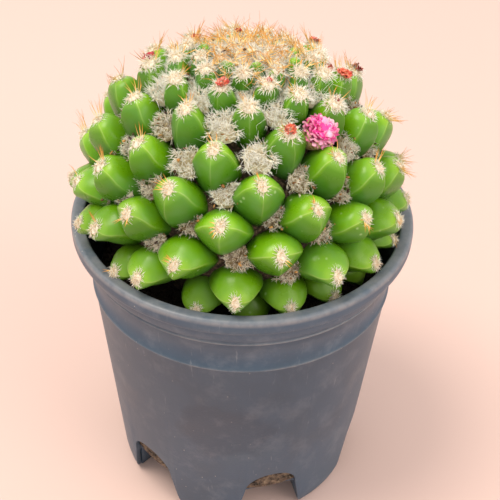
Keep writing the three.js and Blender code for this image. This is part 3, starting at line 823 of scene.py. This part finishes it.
def plant_wool():
    """Plant wool: loose matt hairs, cream at the tips and tan at the roots, painted darker towards the
    roots for their dust and as painted shade deep in the wool. The older it is, the greyer and
    browner, and on the spine pads it takes an orange stain."""
    material, tree, shader = new_material("cream_plant_wool")
    place = add(tree, "TexCoord").outputs["Object"]
    lift, age, stain, shade = (add(tree, "Attribute", attribute_name=name).outputs["Fac"]
                               for name in ("lift", "age", "stain", "shade"))
    # painted shade and dust: both ramps darken towards the roots, deep in the wool
    young = add(tree, "ValToRGB", (lift,), [(0.0, "#d2bc8c"), (0.16, "#f7edd2"), (0.35, "#fffdf0"),
                                            (1.0, "#fffffc")])
    aged = add(tree, "ValToRGB", (lift,), [(0.0, "#44341f"), (0.18, "#b89c6c"), (0.4, "#f2e4c6"),
                                           (1.0, "#fffcf2")])
    wool = add(tree, "Mix", {"Factor": age, "A": young, "B": aged}, data_type="RGBA")
    clumps = add(tree, "TexNoise", {"Vector": place, "Scale": 1 / (2.4 * MM), "Detail": 3})
    dusty = add(tree, "MapRange", (clumps, 0.5, 0.66))
    dirt = add(tree, "Math", (dusty, age), operation="MULTIPLY")
    soiled = add(tree, "Mix", {"Factor": dirt, "A": wool, "B": linear("#6a4c2b")}, data_type="RGBA")
    stained = add(tree, "Mix", {"Factor": stain, "A": soiled, "B": linear("#f2bd70")}, data_type="RGBA")
    strength = add(tree, "MapRange", (shade, 0.0, 1.0, 0.82, 1.04))
    varied = add(tree, "HueSaturation", {"Color": stained, "Value": strength})
    feed(tree, shader, {"Base Color": varied, "Roughness": 0.9, "Specular IOR Level": 0.2})
    return material


WOOL = plant_wool()
finished("young_pad_wool", make_pads(FIRST_PAD, MIDDLE_PAD), WOOL, "cactus_skin")
finished("grown_pad_wool", make_pads(MIDDLE_PAD + 1, LAST_PAD), WOOL, "cactus_skin")

# ---- Spines on the pads ------------------------------------------------------------------------
# A few curved amber spines grow from the upper and outer edge of each pad, and on the lower rows
# more of them hang down. Those at the sides and back are needle thin and up to 8 mm long, and those
# at the front are short and clawed, because the plant has been handled there.
CLAW_RADIUS = 0.2
CLAW_LENGTH = 2.8
NEEDLE_RADIUS = 0.14
FIRST_SPINED = 30
LAST_SPINED = 132
SPINE_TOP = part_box("crown_wool")[1].z / MM - 3.0


def make_spines():
    draw = random.Random(41)
    bm = bmesh.new()
    for count in range(FIRST_SPINED, LAST_SPINED + 1):
        turn, _ = turn_and_polar(count)
        seat = pad_frame(count)
        # how far a pad is from the handled front, from 0 to 1
        away = max(abs(math.cos(turn)) ** 3, smooth_step(math.sin(turn), -0.3, 0.4))
        away = max(away, 0.5 * (1 - smooth_step(count, 40, 70)))
        low = smooth_step(count, 74, 90)
        fan = draw.uniform(0.2, 2.9) + low * draw.uniform(1.6, 3.0)
        for _ in range(round(3 + 6 * away + 3 * low + draw.random())):
            angle = fan + draw.uniform(-0.9, 0.9)
            root = seat @ Vector((1.6 * math.cos(angle), 2.2 * math.sin(angle), 0.6))
            toward = Vector((1.0 * math.cos(angle), 0.9 * math.sin(angle) - 0.15, 0.9))
            toward = (seat.to_3x3() @ toward).normalized()
            length = draw.uniform(2.6, 4.2) + away * draw.uniform(1.0, 4.2)
            if root.z < POT_HEIGHT + 2:
                length = min(length, CLAW_LENGTH)
            tip = root + length * toward
            # none reaches the rim, past the pot's side, or above the crown
            beside_rim = tip.z < POT_HEIGHT + 1 and tip.xy.length > RIM_RADIUS - RIM_WIDTH - 1
            if beside_rim or tip.xy.length > RIM_RADIUS - 0.6 or tip.z > SPINE_TOP:
                continue
            radius = CLAW_RADIUS + (NEEDLE_RADIUS - CLAW_RADIUS) * away
            grow(bm, CURLY_STRAND, root, toward, length, radius * draw.uniform(0.85, 1.2),
                 draw.uniform(-0.35, 0.35), 0.0, draw, shade=draw.random())
    return bm


def amber_spine():
    """Horny spines: pale straw at the root, amber along the middle, brown at the point."""
    material, tree, shader = new_material("amber_spine")
    lift, shade = (add(tree, "Attribute", attribute_name=name).outputs["Fac"] for name in ("lift", "shade"))
    tint = add(tree, "ValToRGB", (lift,), [(0.0, "#fcecc4"), (0.2, "#f9d184"), (0.65, "#eaa342"),
                                           (1.0, "#bd7833")])
    strength = add(tree, "MapRange", (shade, 0.0, 1.0, 0.85, 1.15))
    varied = add(tree, "HueSaturation", {"Color": tint, "Value": strength})
    feed(tree, shader, {"Base Color": varied, "Roughness": 0.38, "IOR": 1.5})
    return material


AMBER = amber_spine()
finished("pad_spines", make_spines(), AMBER, "cactus_skin")

# ---- Wool between the tubercles ----------------------------------------------------------------
# Tufts of short curly wool fill the hollows above the tubercles. They are white and stand high
# where they are new, and lower down they are grey-brown, flat and full of dust and bits.
FLOWER_TUBERCLE = 74
BUD_TUBERCLES = (73, 51, 64, 57)
TUFT_PARTS = (34, 64, 94, 125)
TUFT_LOCKS = 146
HAIRS_A_LOCK = 3
TUFT_WIDTH = 7.1
TUFT_HEIGHT = 7.2
MATTED_SWELL = 1.4
FLUFFY_SWELL = 1.2
STRAY_HAIRS = 3
# how white the tufts are above some of the tubercles at the front
WHITE_TUFTS = {71: 1.0, 79: 1.0, 66: 0.95, 63: 0.85, 58: 0.9, 61: 0.85, 56: 0.9, 53: 0.7, 92: 0.45, 87: 0.1,
               84: 0.35, 76: 0.1, 77: 0.05, 90: 0.0, 82: 0.05, 69: 0.2}


def tuft_mesh(draw, fluffy):
    """A four-cornered tuft over a low felt mound; its middle is at the origin. Fluffy wool stands
    up and spreads out, and matted wool lies down in short curls."""
    swell = MATTED_SWELL + FLUFFY_SWELL * fluffy
    bm = bmesh.new()
    # painted shade: the felt takes the dark root colour and darkest tone, under the locks
    put(bm, felt_mesh((TUFT_WIDTH * 0.66, TUFT_HEIGHT * 0.66, swell * 0.6), 0.5, 0.03 + 0.08 * fluffy),
        Matrix.Translation((0, 0, -1.8)), shade=0.0)
    for _ in range(TUFT_LOCKS):
        across = draw.uniform(-1, 1) * draw.uniform(0.6, 1)
        along = draw.uniform(-1, 1) * draw.uniform(0.6, 1) * (1.1 - 0.75 * abs(across))
        out = min(1.0, math.hypot(across, along))
        root = Vector((across * TUFT_WIDTH * 0.85, along * TUFT_HEIGHT * 0.85,
                       swell * math.sqrt(1 - out * out) - 1.0))
        lock = Vector((across * 0.6, along * 0.6, 0.3 + 0.25 * fluffy)) + scatter(draw, 1.2 - 0.1 * fluffy)
        lock.z = abs(lock.z) + 0.1
        length = draw.uniform(1.5, 2.7) + 0.7 * fluffy
        bright = draw.uniform(0, 0.5)
        for _ in range(HAIRS_A_LOCK):
            grow(bm, SHORT_STRAND, root + scatter(draw, 0.25), lock + scatter(draw, 0.4),
                 length * draw.uniform(0.8, 1.2), FIBRE_RADIUS * draw.uniform(1.1, 1.7),
                 draw.uniform(-0.9, 0.9), draw.uniform(-1.8, 1.8), draw, shade=bright + draw.uniform(0, 0.5))
    made = bpy.data.meshes.new("tuft")
    bm.to_mesh(made)
    bm.free()
    return made


def make_tufts(first, after):
    draw = random.Random(57 + first)
    matted = [tuft_mesh(draw, 0.0) for _ in range(4)]
    loose = [tuft_mesh(draw, 1.0) for _ in range(3)]
    bm = bmesh.new()
    for count in range(first, after):
        if count == FLOWER_TUBERCLE:
            continue
        old = smooth_step(count, 60, 100)
        white = WHITE_TUFTS.get(count, draw.uniform(0, 0.75) * (1 - old))
        age = min(0.75, max(0.0, 0.3 + 0.3 * old - 0.95 * white + draw.uniform(-0.12, 0.12)))
        depth = 6.2 + 1.9 * old - 1.0 * white
        size = growth(count) * draw.uniform(0.95, 1.1) * (1 - 0.1 * old + 0.08 * white)
        turn = Matrix.Rotation(draw.choice((0, math.pi)) + draw.uniform(-0.2, 0.2), 4, "Z")
        kind = draw.choice(loose if white > 0.5 else matted)
        place = axil_frame(count, depth) @ turn @ Matrix.Scale(size, 4)
        put(bm, kind, place, age=age)
        for _ in range(STRAY_HAIRS if white > 0.8 else 0):
            lean = Vector((draw.uniform(-1, 1), draw.uniform(-1.2, 0.2), 0.6))
            toward = axil_frame(count, 0).to_3x3() @ lean
            grow(bm, CURLY_STRAND, place.translation + scatter(draw, 3), toward, draw.uniform(7, 11),
                 FIBRE_RADIUS, draw.uniform(-0.9, 0.9), draw.uniform(-1.8, 1.8), draw, shade=1.0)
    return bm


for name, first, after in zip(("upper_tufts", "middle_tufts", "lower_tufts"), TUFT_PARTS, TUFT_PARTS[1:]):
    finished(name, make_tufts(first, after), WOOL, "wool")

# ---- The crown ---------------------------------------------------------------------------------
# The growing tip is hidden in cream wool, out of which the young pads push bundles of amber
# spines, 6 to 12 mm long, that lean outwards and lie over each other.
CROWN_WOOL_FIBRES = 5600
CROWN_FELT = (15.5, 15.5, 4.2)
CROWN_FELT_DEPTH = 9.5
CROWN_PADS = 36
YOUNGEST_PADS = 24
CROWN_SPREAD = math.radians(21)
CROWN_SHIFT = Vector((0, -0.075, 0))


def crown_place(turn, polar, depth):
    """A point of the crown, whose wool reaches down a little further at the front."""
    direction = (direction_at(turn, polar) + CROWN_SHIFT).normalized()
    return globe_point(direction, depth), direction


def make_crown_wool():
    draw = random.Random(71)
    bm = bmesh.new()
    middle, outward = crown_place(0, 0, CROWN_FELT_DEPTH)
    # painted shade: the felt under the hairs takes the wool's darker root colour
    put(bm, felt_mesh(CROWN_FELT, 0.9, 0.12), frame_at(middle, outward), shade=0.5, age=0.3)
    for _ in range(CROWN_WOOL_FIBRES):
        polar = CROWN_SPREAD * math.sqrt(draw.random())
        root, outward = crown_place(draw.uniform(0, math.tau), polar, 0)
        lump = noise.noise(root * 0.3)
        root -= outward * (4.9 - 3.0 * lump + 12 * max(0.0, polar - 0.24))
        toward = outward + scatter(draw, 0.95)
        dark = 0.5 if noise.noise(root * 0.33 + Vector((9, 2, 5))) > 0.3 else 0.0
        grow(bm, SHORT_STRAND, root, toward, draw.uniform(1.5, 3.2), FIBRE_RADIUS * draw.uniform(0.9, 1.6),
             draw.uniform(-0.8, 0.8), draw.uniform(-1.5, 1.5), draw, shade=draw.random(),
             age=min(1, dark + draw.uniform(0, 0.15)))
    return bm


def make_crown_spines():
    draw = random.Random(83)
    bm = bmesh.new()
    for count in range(1, CROWN_PADS + 1):
        turn, polar = turn_and_polar(count)
        root, outward = crown_place(turn, polar, 1.6)
        seat = frame_at(root, outward).to_3x3()
        downhill = Vector((math.cos(turn), math.sin(turn), 0))
        lean = 1.4 * polar / CROWN_SPREAD
        for _ in range(9 if count < YOUNGEST_PADS else 4):
            angle = draw.uniform(0, math.tau)
            spread = draw.uniform(0.6, 2.6)
            toward = seat @ Vector((spread * math.cos(angle), spread * math.sin(angle), 1)) + lean * downhill
            toward.normalize()
            start = root + scatter(draw, 1.8)
            length = draw.uniform(6.5, 12.5) * (1 - 0.01 * count)
            if toward.z > 0.05:
                length = min(length, (SPINE_TOP - start.z) / toward.z)
            grow(bm, CURLY_STRAND, start, toward, length, CLAW_RADIUS * draw.uniform(0.85, 1.25),
                 draw.uniform(-0.7, 0.7), draw.uniform(-0.8, 0.8), draw, shade=draw.random())
    return bm


finished("crown_wool_hairs", make_crown_wool(), WOOL, "wool", "crown_wool")
finished("crown_spines", make_crown_spines(), AMBER, "wool")

# ---- Scraps ------------------------------------------------------------------------------------
# Dry brown and amber scraps of dead spines and flowers, 0.5 to 2.5 mm, are caught in the wool of
# the crown and the tufts. They lie loose, one side sunk in the wool.
SCRAPS_A_TUFT = 8
CROWN_SCRAPS = 40


def make_scraps():
    draw = random.Random(89)
    scrap = bmesh.new()
    bmesh.ops.create_icosphere(scrap, subdivisions=1, radius=1)
    for vert in scrap.verts:
        vert.co *= 1 + 0.5 * noise.noise(vert.co * 1.9)
    mesh = bpy.data.meshes.new("scrap")
    scrap.to_mesh(mesh)
    scrap.free()
    places = []
    for count in range(TUFT_PARTS[0], TUFT_PARTS[-1]):
        hollow = axil_frame(count, 4.4 + 2.0 * smooth_step(count, 60, 100))
        for _ in range(SCRAPS_A_TUFT):
            spot = Vector((draw.uniform(-4.5, 4.5), draw.uniform(-4, 4), draw.uniform(-0.6, 0.6)))
            places.append(hollow @ (spot * growth(count)))
    for _ in range(CROWN_SCRAPS):
        polar = CROWN_SPREAD * math.sqrt(draw.random())
        places.append(crown_place(draw.uniform(0, math.tau), polar, draw.uniform(-0.3, 1.5))[0])
    bm = bmesh.new()
    for place in places:
        size = 0.22 + 0.42 * draw.random() ** 2
        tilt = Matrix.Rotation(draw.uniform(0, 6), 4, "X") @ Matrix.Rotation(draw.uniform(0, 6), 4, "Y")
        stretch = Matrix.Diagonal((size * draw.uniform(1, 2), size, size * draw.uniform(0.4, 0.9), 1))
        put(bm, mesh, Matrix.Translation(place) @ tilt @ stretch, shade=draw.random())
    return bm


def dry_scrap():
    """Dry plant scraps, dull: from nearly black through brown to pale amber."""
    material, tree, shader = new_material("dry_brown_scraps")
    shade = add(tree, "Attribute", attribute_name="shade").outputs["Fac"]
    tint = add(tree, "ValToRGB", (shade,), [(0.0, "#2a1a10"), (0.35, "#5e4126"), (0.7, "#9a6a38"),
                                            (1.0, "#d29c58")])
    feed(tree, shader, {"Base Color": tint, "Roughness": 0.8})
    return material


finished("dry_scraps", make_scraps(), dry_scrap(), "wool")

# ---- The flower's petals -----------------------------------------------------------------------
# One flower stands in the wool above a tubercle. It is just closing: a dense crumpled head of
# magenta petals with pale folds and coral edges, rooted in its cup.
FLOWER_DEPTH = 9.0
PETAL_COUNT = 40
PETAL_THICKNESS = 0.16
PETAL_BALL = (3.7, 3.7, 4.2)


def petal_mesh(draw):
    """A crumpled strip, rooted at the origin and standing up +z."""
    bm = bmesh.new()
    bmesh.ops.create_grid(bm, x_segments=6, y_segments=8, size=0.5)
    width, length = draw.uniform(3.0, 4.4), draw.uniform(3.4, 4.8)
    fold, curl, offset = draw.uniform(0.5, 1.0), draw.uniform(0.4, 1.5), Vector((draw.uniform(0, 50), 0, 0))
    for vert in bm.verts:
        across, up = vert.co.x * 2, vert.co.y + 0.5
        taper = math.sin(math.pi * min(1, 0.22 + 0.62 * up)) ** 0.6
        lean = curl * up * up
        vert.co = Vector((across * width / 2 * taper, fold * abs(across) * taper + 1.3 * math.sin(lean) * up,
                          length * up * math.cos(0.55 * lean)))
        vert.co += 1.0 * noise.noise_vector(vert.co * 0.9 + offset)
    mesh = bpy.data.meshes.new("petal")
    bmesh.ops.solidify(bm, geom=bm.faces, thickness=PETAL_THICKNESS)
    bm.to_mesh(mesh)
    bm.free()
    set_values(mesh, "lift", [min(1.0, max(0.0, vert.co.z / length)) for vert in mesh.vertices])
    return mesh


def make_petals():
    draw = random.Random(97)
    kinds = [petal_mesh(draw) for _ in range(9)]
    seat = axil_frame(FLOWER_TUBERCLE, FLOWER_DEPTH)
    bm = bmesh.new()
    put(bm, felt_mesh(PETAL_BALL, 0.5, 0.4), seat @ Matrix.Translation((0, 0, PETAL_BALL[2])), shade=0.5)
    for number in range(PETAL_COUNT):
        out = math.sqrt((number + 0.5) / PETAL_COUNT)
        place = (seat @ Matrix.Rotation(number * DIVERGENCE, 4, "Z")
                 @ Matrix.Translation((3.2 * out, 0, 6.7 - 2.9 * out ** 3))
                 @ Matrix.Rotation(0.15 + 0.85 * out, 4, "Y") @ Matrix.Rotation(-math.pi / 2, 4, "Z")
                 @ Matrix.Rotation(draw.uniform(-0.5, 0.5), 4, "Z") @ Matrix.Scale(1.0 - 0.15 * out, 4))
        put(bm, draw.choice(kinds), place, shade=draw.random())
    return bm


def crumpled_petal():
    """Thin moist petals: hot magenta with pale pink folds, coral at the drying edges."""
    material, tree, shader = new_material("crumpled_magenta_petal")
    place = add(tree, "TexCoord").outputs["Object"]
    lift, shade = (add(tree, "Attribute", attribute_name=name).outputs["Fac"] for name in ("lift", "shade"))
    body = add(tree, "ValToRGB", (shade,), [(0.0, "#f6a5cc"), (0.3, "#f0489f"), (0.7, "#ea2f92"),
                                            (1.0, "#f9c3d6")])
    creases = add(tree, "TexNoise", {"Vector": place, "Scale": 1 / (1.3 * MM), "Detail": 3})
    pale = add(tree, "MapRange", (creases, 0.52, 0.66))
    folded = add(tree, "Mix", {"Factor": pale, "A": body, "B": linear("#f9bcd2")}, data_type="RGBA")
    edge = add(tree, "MapRange", (lift, 0.84, 1.0, 0.0, 0.5))
    tipped = add(tree, "Mix", {"Factor": edge, "A": folded, "B": linear("#dd5f5a")}, data_type="RGBA")
    feed(tree, shader, {"Base Color": tipped, "Roughness": 0.5, "Subsurface Weight": 0.25,
                        "Subsurface Radius": (1.0, 0.4, 0.6), "Subsurface Scale": 0.8 * MM})
    return material


finished("flower_head", make_petals(), crumpled_petal(), "petal", "flower_petals")

# ---- The flower's cup --------------------------------------------------------------------------
# Thin papery sepals, grown together into a round cup with a ragged edge. They hold the petals, and
# the cup's foot is rooted in the wool.
CUP_TOP = 6.2
CUP_OUTSIDE = ((0, -3), (2.4, -3), (3.5, -1.2), (4.5, 1.4), (5.0, 3.6), (5.15, CUP_TOP))
CUP_INSIDE = ((4.9, CUP_TOP), (4.7, 3.6), (4.2, 1.4), (3.2, -0.9), (1.6, -2.2), (0, -2.2))


def make_sepals():
    bm = bmesh.new()
    turned(bm, [*CUP_OUTSIDE, *CUP_INSIDE], 48)
    for vert in bm.verts:
        turn = math.atan2(vert.co.y, vert.co.x)
        ragged = smooth_step(vert.co.z, 2.5, CUP_TOP)
        vert.co.z += ragged * (0.9 * math.sin(7 * turn) + 0.5 * math.sin(12 * turn + 1) - 0.4)
        vert.co.xy *= 1 + 0.05 * ragged * math.sin(9 * turn + 2)
    bmesh.ops.transform(bm, matrix=axil_frame(FLOWER_TUBERCLE, FLOWER_DEPTH), verts=bm.verts)
    return bm


def papery_sepal():
    """Dry papery sepals: tan and olive, thinly veined, dull."""
    material, tree, shader = new_material("papery_tan_sepal")
    place = add(tree, "TexCoord").outputs["Object"]
    upright = add(tree, "Mapping", {"Vector": place, "Scale": (1, 1, 0.25)})
    veins = add(tree, "TexNoise", {"Vector": upright, "Scale": 1 / (0.9 * MM), "Detail": 4})
    tint = add(tree, "ValToRGB", (veins,), [(0.3, "#6f5a2c"), (0.5, "#b39a63"), (0.7, "#e3d3a8")])
    relief = add(tree, "Bump", {"Height": veins, "Strength": 0.5, "Distance": 0.3 * MM})
    feed(tree, shader, {"Base Color": tint, "Normal": relief, "Roughness": 0.7})
    return material


finished("flower_cup", make_sepals(), papery_sepal(), "dry_sepal", "flower_sepals")

# ---- The buds ----------------------------------------------------------------------------------
# Four small buds and spent flowers near the crown, crimson or orange-red with dried brown tips.
# Each is a tight spindle of overlapping scales, rooted in the wool above its tubercle.
BUD_DEPTH = 6.5
BUD_TOP = 6.2
BUD_OUTLINE = ((0, -2), (1.1, -2), (1.6, 0.4), (1.9, 2.5), (1.6, 4.4), (0.8, 5.8), (0, BUD_TOP))
BUD_TONES = (0.35, 0.8, 0.6, 0.15)


def make_bud(count, tone, draw):
    bm = bmesh.new()
    turned(bm, BUD_OUTLINE, 20)
    bmesh.ops.subdivide_edges(bm, edges=[edge for edge in bm.edges if edge.calc_length() > 1], cuts=2)
    start = draw.uniform(0, 50)
    for vert in bm.verts:
        turn = math.atan2(vert.co.y, vert.co.x)
        vert.co.xy *= 1 + 0.16 * math.sin(5 * turn + 1.1 * vert.co.z)
        vert.co += 0.25 * noise.noise_vector(vert.co * 0.9 + Vector((start, 0, 0)))
    body = bpy.data.meshes.new("bud")
    bm.to_mesh(body)
    bm.free()
    set_values(body, "lift", [min(1.0, max(0.0, vert.co.z / BUD_TOP)) for vert in body.vertices])
    bm = bmesh.new()
    put(bm, body, axil_frame(count, BUD_DEPTH), tone=tone)
    return bm


def dried_bud():
    """A bud's scales, satin: crimson in some and orange-red in others, tan at the root, brown and
    brittle at the tip."""
    material, tree, shader = new_material("dried_crimson_bud")
    place = add(tree, "TexCoord").outputs["Object"]
    lift, tone = (add(tree, "Attribute", attribute_name=name).outputs["Fac"] for name in ("lift", "tone"))
    body = add(tree, "ValToRGB", (tone,), [(0.0, "#6b2a22"), (0.2, "#a03a2e"), (0.4, "#bb2347"),
                                           (0.65, "#e26a48"), (1.0, "#f0867a")])
    root = add(tree, "MapRange", (lift, 0.0, 0.4, 0.8, 0.0))
    rooted = add(tree, "Mix", {"Factor": root, "A": body, "B": linear("#d8bf90")}, data_type="RGBA")
    tip = add(tree, "MapRange", (lift, 0.75, 0.98, 0.0, 0.8))
    tipped = add(tree, "Mix", {"Factor": tip, "A": rooted, "B": linear("#4b2a1c")}, data_type="RGBA")
    folds = add(tree, "TexNoise", {"Vector": place, "Scale": 1 / (1.0 * MM), "Detail": 3})
    streak = add(tree, "MapRange", (folds, 0.55, 0.7, 0.0, 0.6))
    streaked = add(tree, "Mix", {"Factor": streak, "A": tipped, "B": linear("#eaa184")}, data_type="RGBA")
    relief = add(tree, "Bump", {"Height": folds, "Strength": 0.5, "Distance": 0.3 * MM})
    feed(tree, shader, {"Base Color": streaked, "Normal": relief, "Roughness": 0.5})
    return material


BUD = dried_bud()
bud_draw = random.Random(101)
for number, (count, tone) in enumerate(zip(BUD_TUBERCLES, BUD_TONES), start=1):
    finished(f"dried_bud_{number}", make_bud(count, tone, bud_draw), BUD, "bud", f"bud_{number}")

# ---- Faded blooms ------------------------------------------------------------------------------
# On some of the spine pads lies a faded bloom, a dry rosette of a few small coral petals, of the
# buds' own stuff. It sits on the pad's wool.
BLOOM_PETALS = 13
BLOOM_SCALE = 0.42
# a tubercle's number, and the size, tone and sideways place of the bloom on its pad
BLOOMS = ((66, 0.9, 0.8, 0.0), (50, 0.95, 0.6, 0.6), (45, 0.5, 0.7, 0.4), (59, 0.9, 0.75, 0.0),
          (60, 1.0, 0.4, -2.8), (44, 0.75, 0.75, 0.0), (28, 0.6, 0.3, 0.0), (56, 1.2, 0.7, -2.4),
          (64, 0.9, 0.1, 0.0), (61, 0.4, 0.2, 0.6))


def make_blooms():
    draw = random.Random(107)
    kinds = [petal_mesh(draw) for _ in range(4)]
    bm = bmesh.new()
    for count, size, tone, sideways in BLOOMS:
        seat = pad_frame(count) @ Matrix.Translation((sideways, 0, 1.5 - 0.2 * abs(sideways)))
        for number in range(BLOOM_PETALS):
            out = math.sqrt((number + 0.5) / BLOOM_PETALS)
            place = (seat @ Matrix.Rotation(number * DIVERGENCE, 4, "Z")
                     @ Matrix.Translation((1.1 * out * size, 0, 0.5 - 0.5 * out))
                     @ Matrix.Rotation(0.1 + 0.5 * out, 4, "Y") @ Matrix.Rotation(-math.pi / 2, 4, "Z")
                     @ Matrix.Scale(BLOOM_SCALE * size, 4))
            put(bm, draw.choice(kinds), place, tone=min(1.0, tone + draw.uniform(-0.15, 0.15)))
    return bm


finished("faded_blooms", make_blooms(), BUD, "bud")

# ---- Floor, light and camera -------------------------------------------------------------------
# A plain pale pink floor, daylight from a wide soft sky, a soft lamp at the left and a weaker one at
# the right, and a camera at the height, distance and tilt that the pot's three ellipses give.
FLOOR_REACH = 3
CAMERA_BACK = 299.871 * MM
CAMERA_HEIGHT = 337.907 * MM
CAMERA_PITCH = 0.679
CAMERA_YAW = 0.010
CAMERA_ROLL = 0.033
FOCAL_PIXELS = 1060.0
FRAME_PIXELS = 500.0
SENSOR = 36.0

floor_mesh = bpy.data.meshes.new("floor")
bm = bmesh.new()
bmesh.ops.create_grid(bm, x_segments=1, y_segments=1, size=FLOOR_REACH)
bm.to_mesh(floor_mesh)
bm.free()
floor = bpy.data.objects.new("floor", floor_mesh)
bpy.context.scene.collection.objects.link(floor)
floor_paint, tree, shader = new_material("matt_pale_pink_floor")
feed(tree, shader, {"Base Color": linear("#dcbfb6"), "Roughness": 0.9})
floor_mesh.materials.append(floor_paint)

sky = bpy.data.worlds.new("sky")
bpy.context.scene.world = sky
sky.use_nodes = True
feed(sky.node_tree, sky.node_tree.nodes["Background"], {"Color": linear("#f5f1ec"), "Strength": 1.13})
bpy.context.scene.view_settings.view_transform = "Standard"


def soft_lamp(name, place, size, power, colour):
    lamp = bpy.data.lights.new(name, "AREA")
    lamp.shape = "DISK"
    lamp.size = size
    lamp.energy = power
    lamp.color = linear(colour)[:3]
    holder = bpy.data.objects.new(name, lamp)
    bpy.context.scene.collection.objects.link(holder)
    holder.location = place
    holder.rotation_euler = (Vector((0, 0, 0.1)) - Vector(place)).to_track_quat("-Z", "Y").to_euler()


soft_lamp("key_lamp", (-0.45, -0.1, 1.3), 0.6, 11, "#fff6e8")
soft_lamp("fill_lamp", (0.9, -0.7, 0.9), 0.9, 5.5, "#fff4ea")

lens = bpy.data.cameras.new("camera")
lens.sensor_width = SENSOR
lens.lens = FOCAL_PIXELS / FRAME_PIXELS * SENSOR
lens.clip_start = 0.01
camera = bpy.data.objects.new("camera", lens)
bpy.context.scene.collection.objects.link(camera)
ahead = Vector((math.sin(CAMERA_YAW) * math.cos(CAMERA_PITCH), math.cos(CAMERA_YAW) * math.cos(CAMERA_PITCH),
                -math.sin(CAMERA_PITCH)))
level = ahead.cross(Vector((0, 0, 1))).normalized()
upright = level.cross(ahead)
right = level * math.cos(CAMERA_ROLL) + upright * math.sin(CAMERA_ROLL)
above = upright * math.cos(CAMERA_ROLL) - level * math.sin(CAMERA_ROLL)
camera.matrix_world = (Matrix.Translation((0, -CAMERA_BACK, CAMERA_HEIGHT))
                       @ Matrix((right, above, -ahead)).transposed().to_4x4())
bpy.context.scene.camera = camera
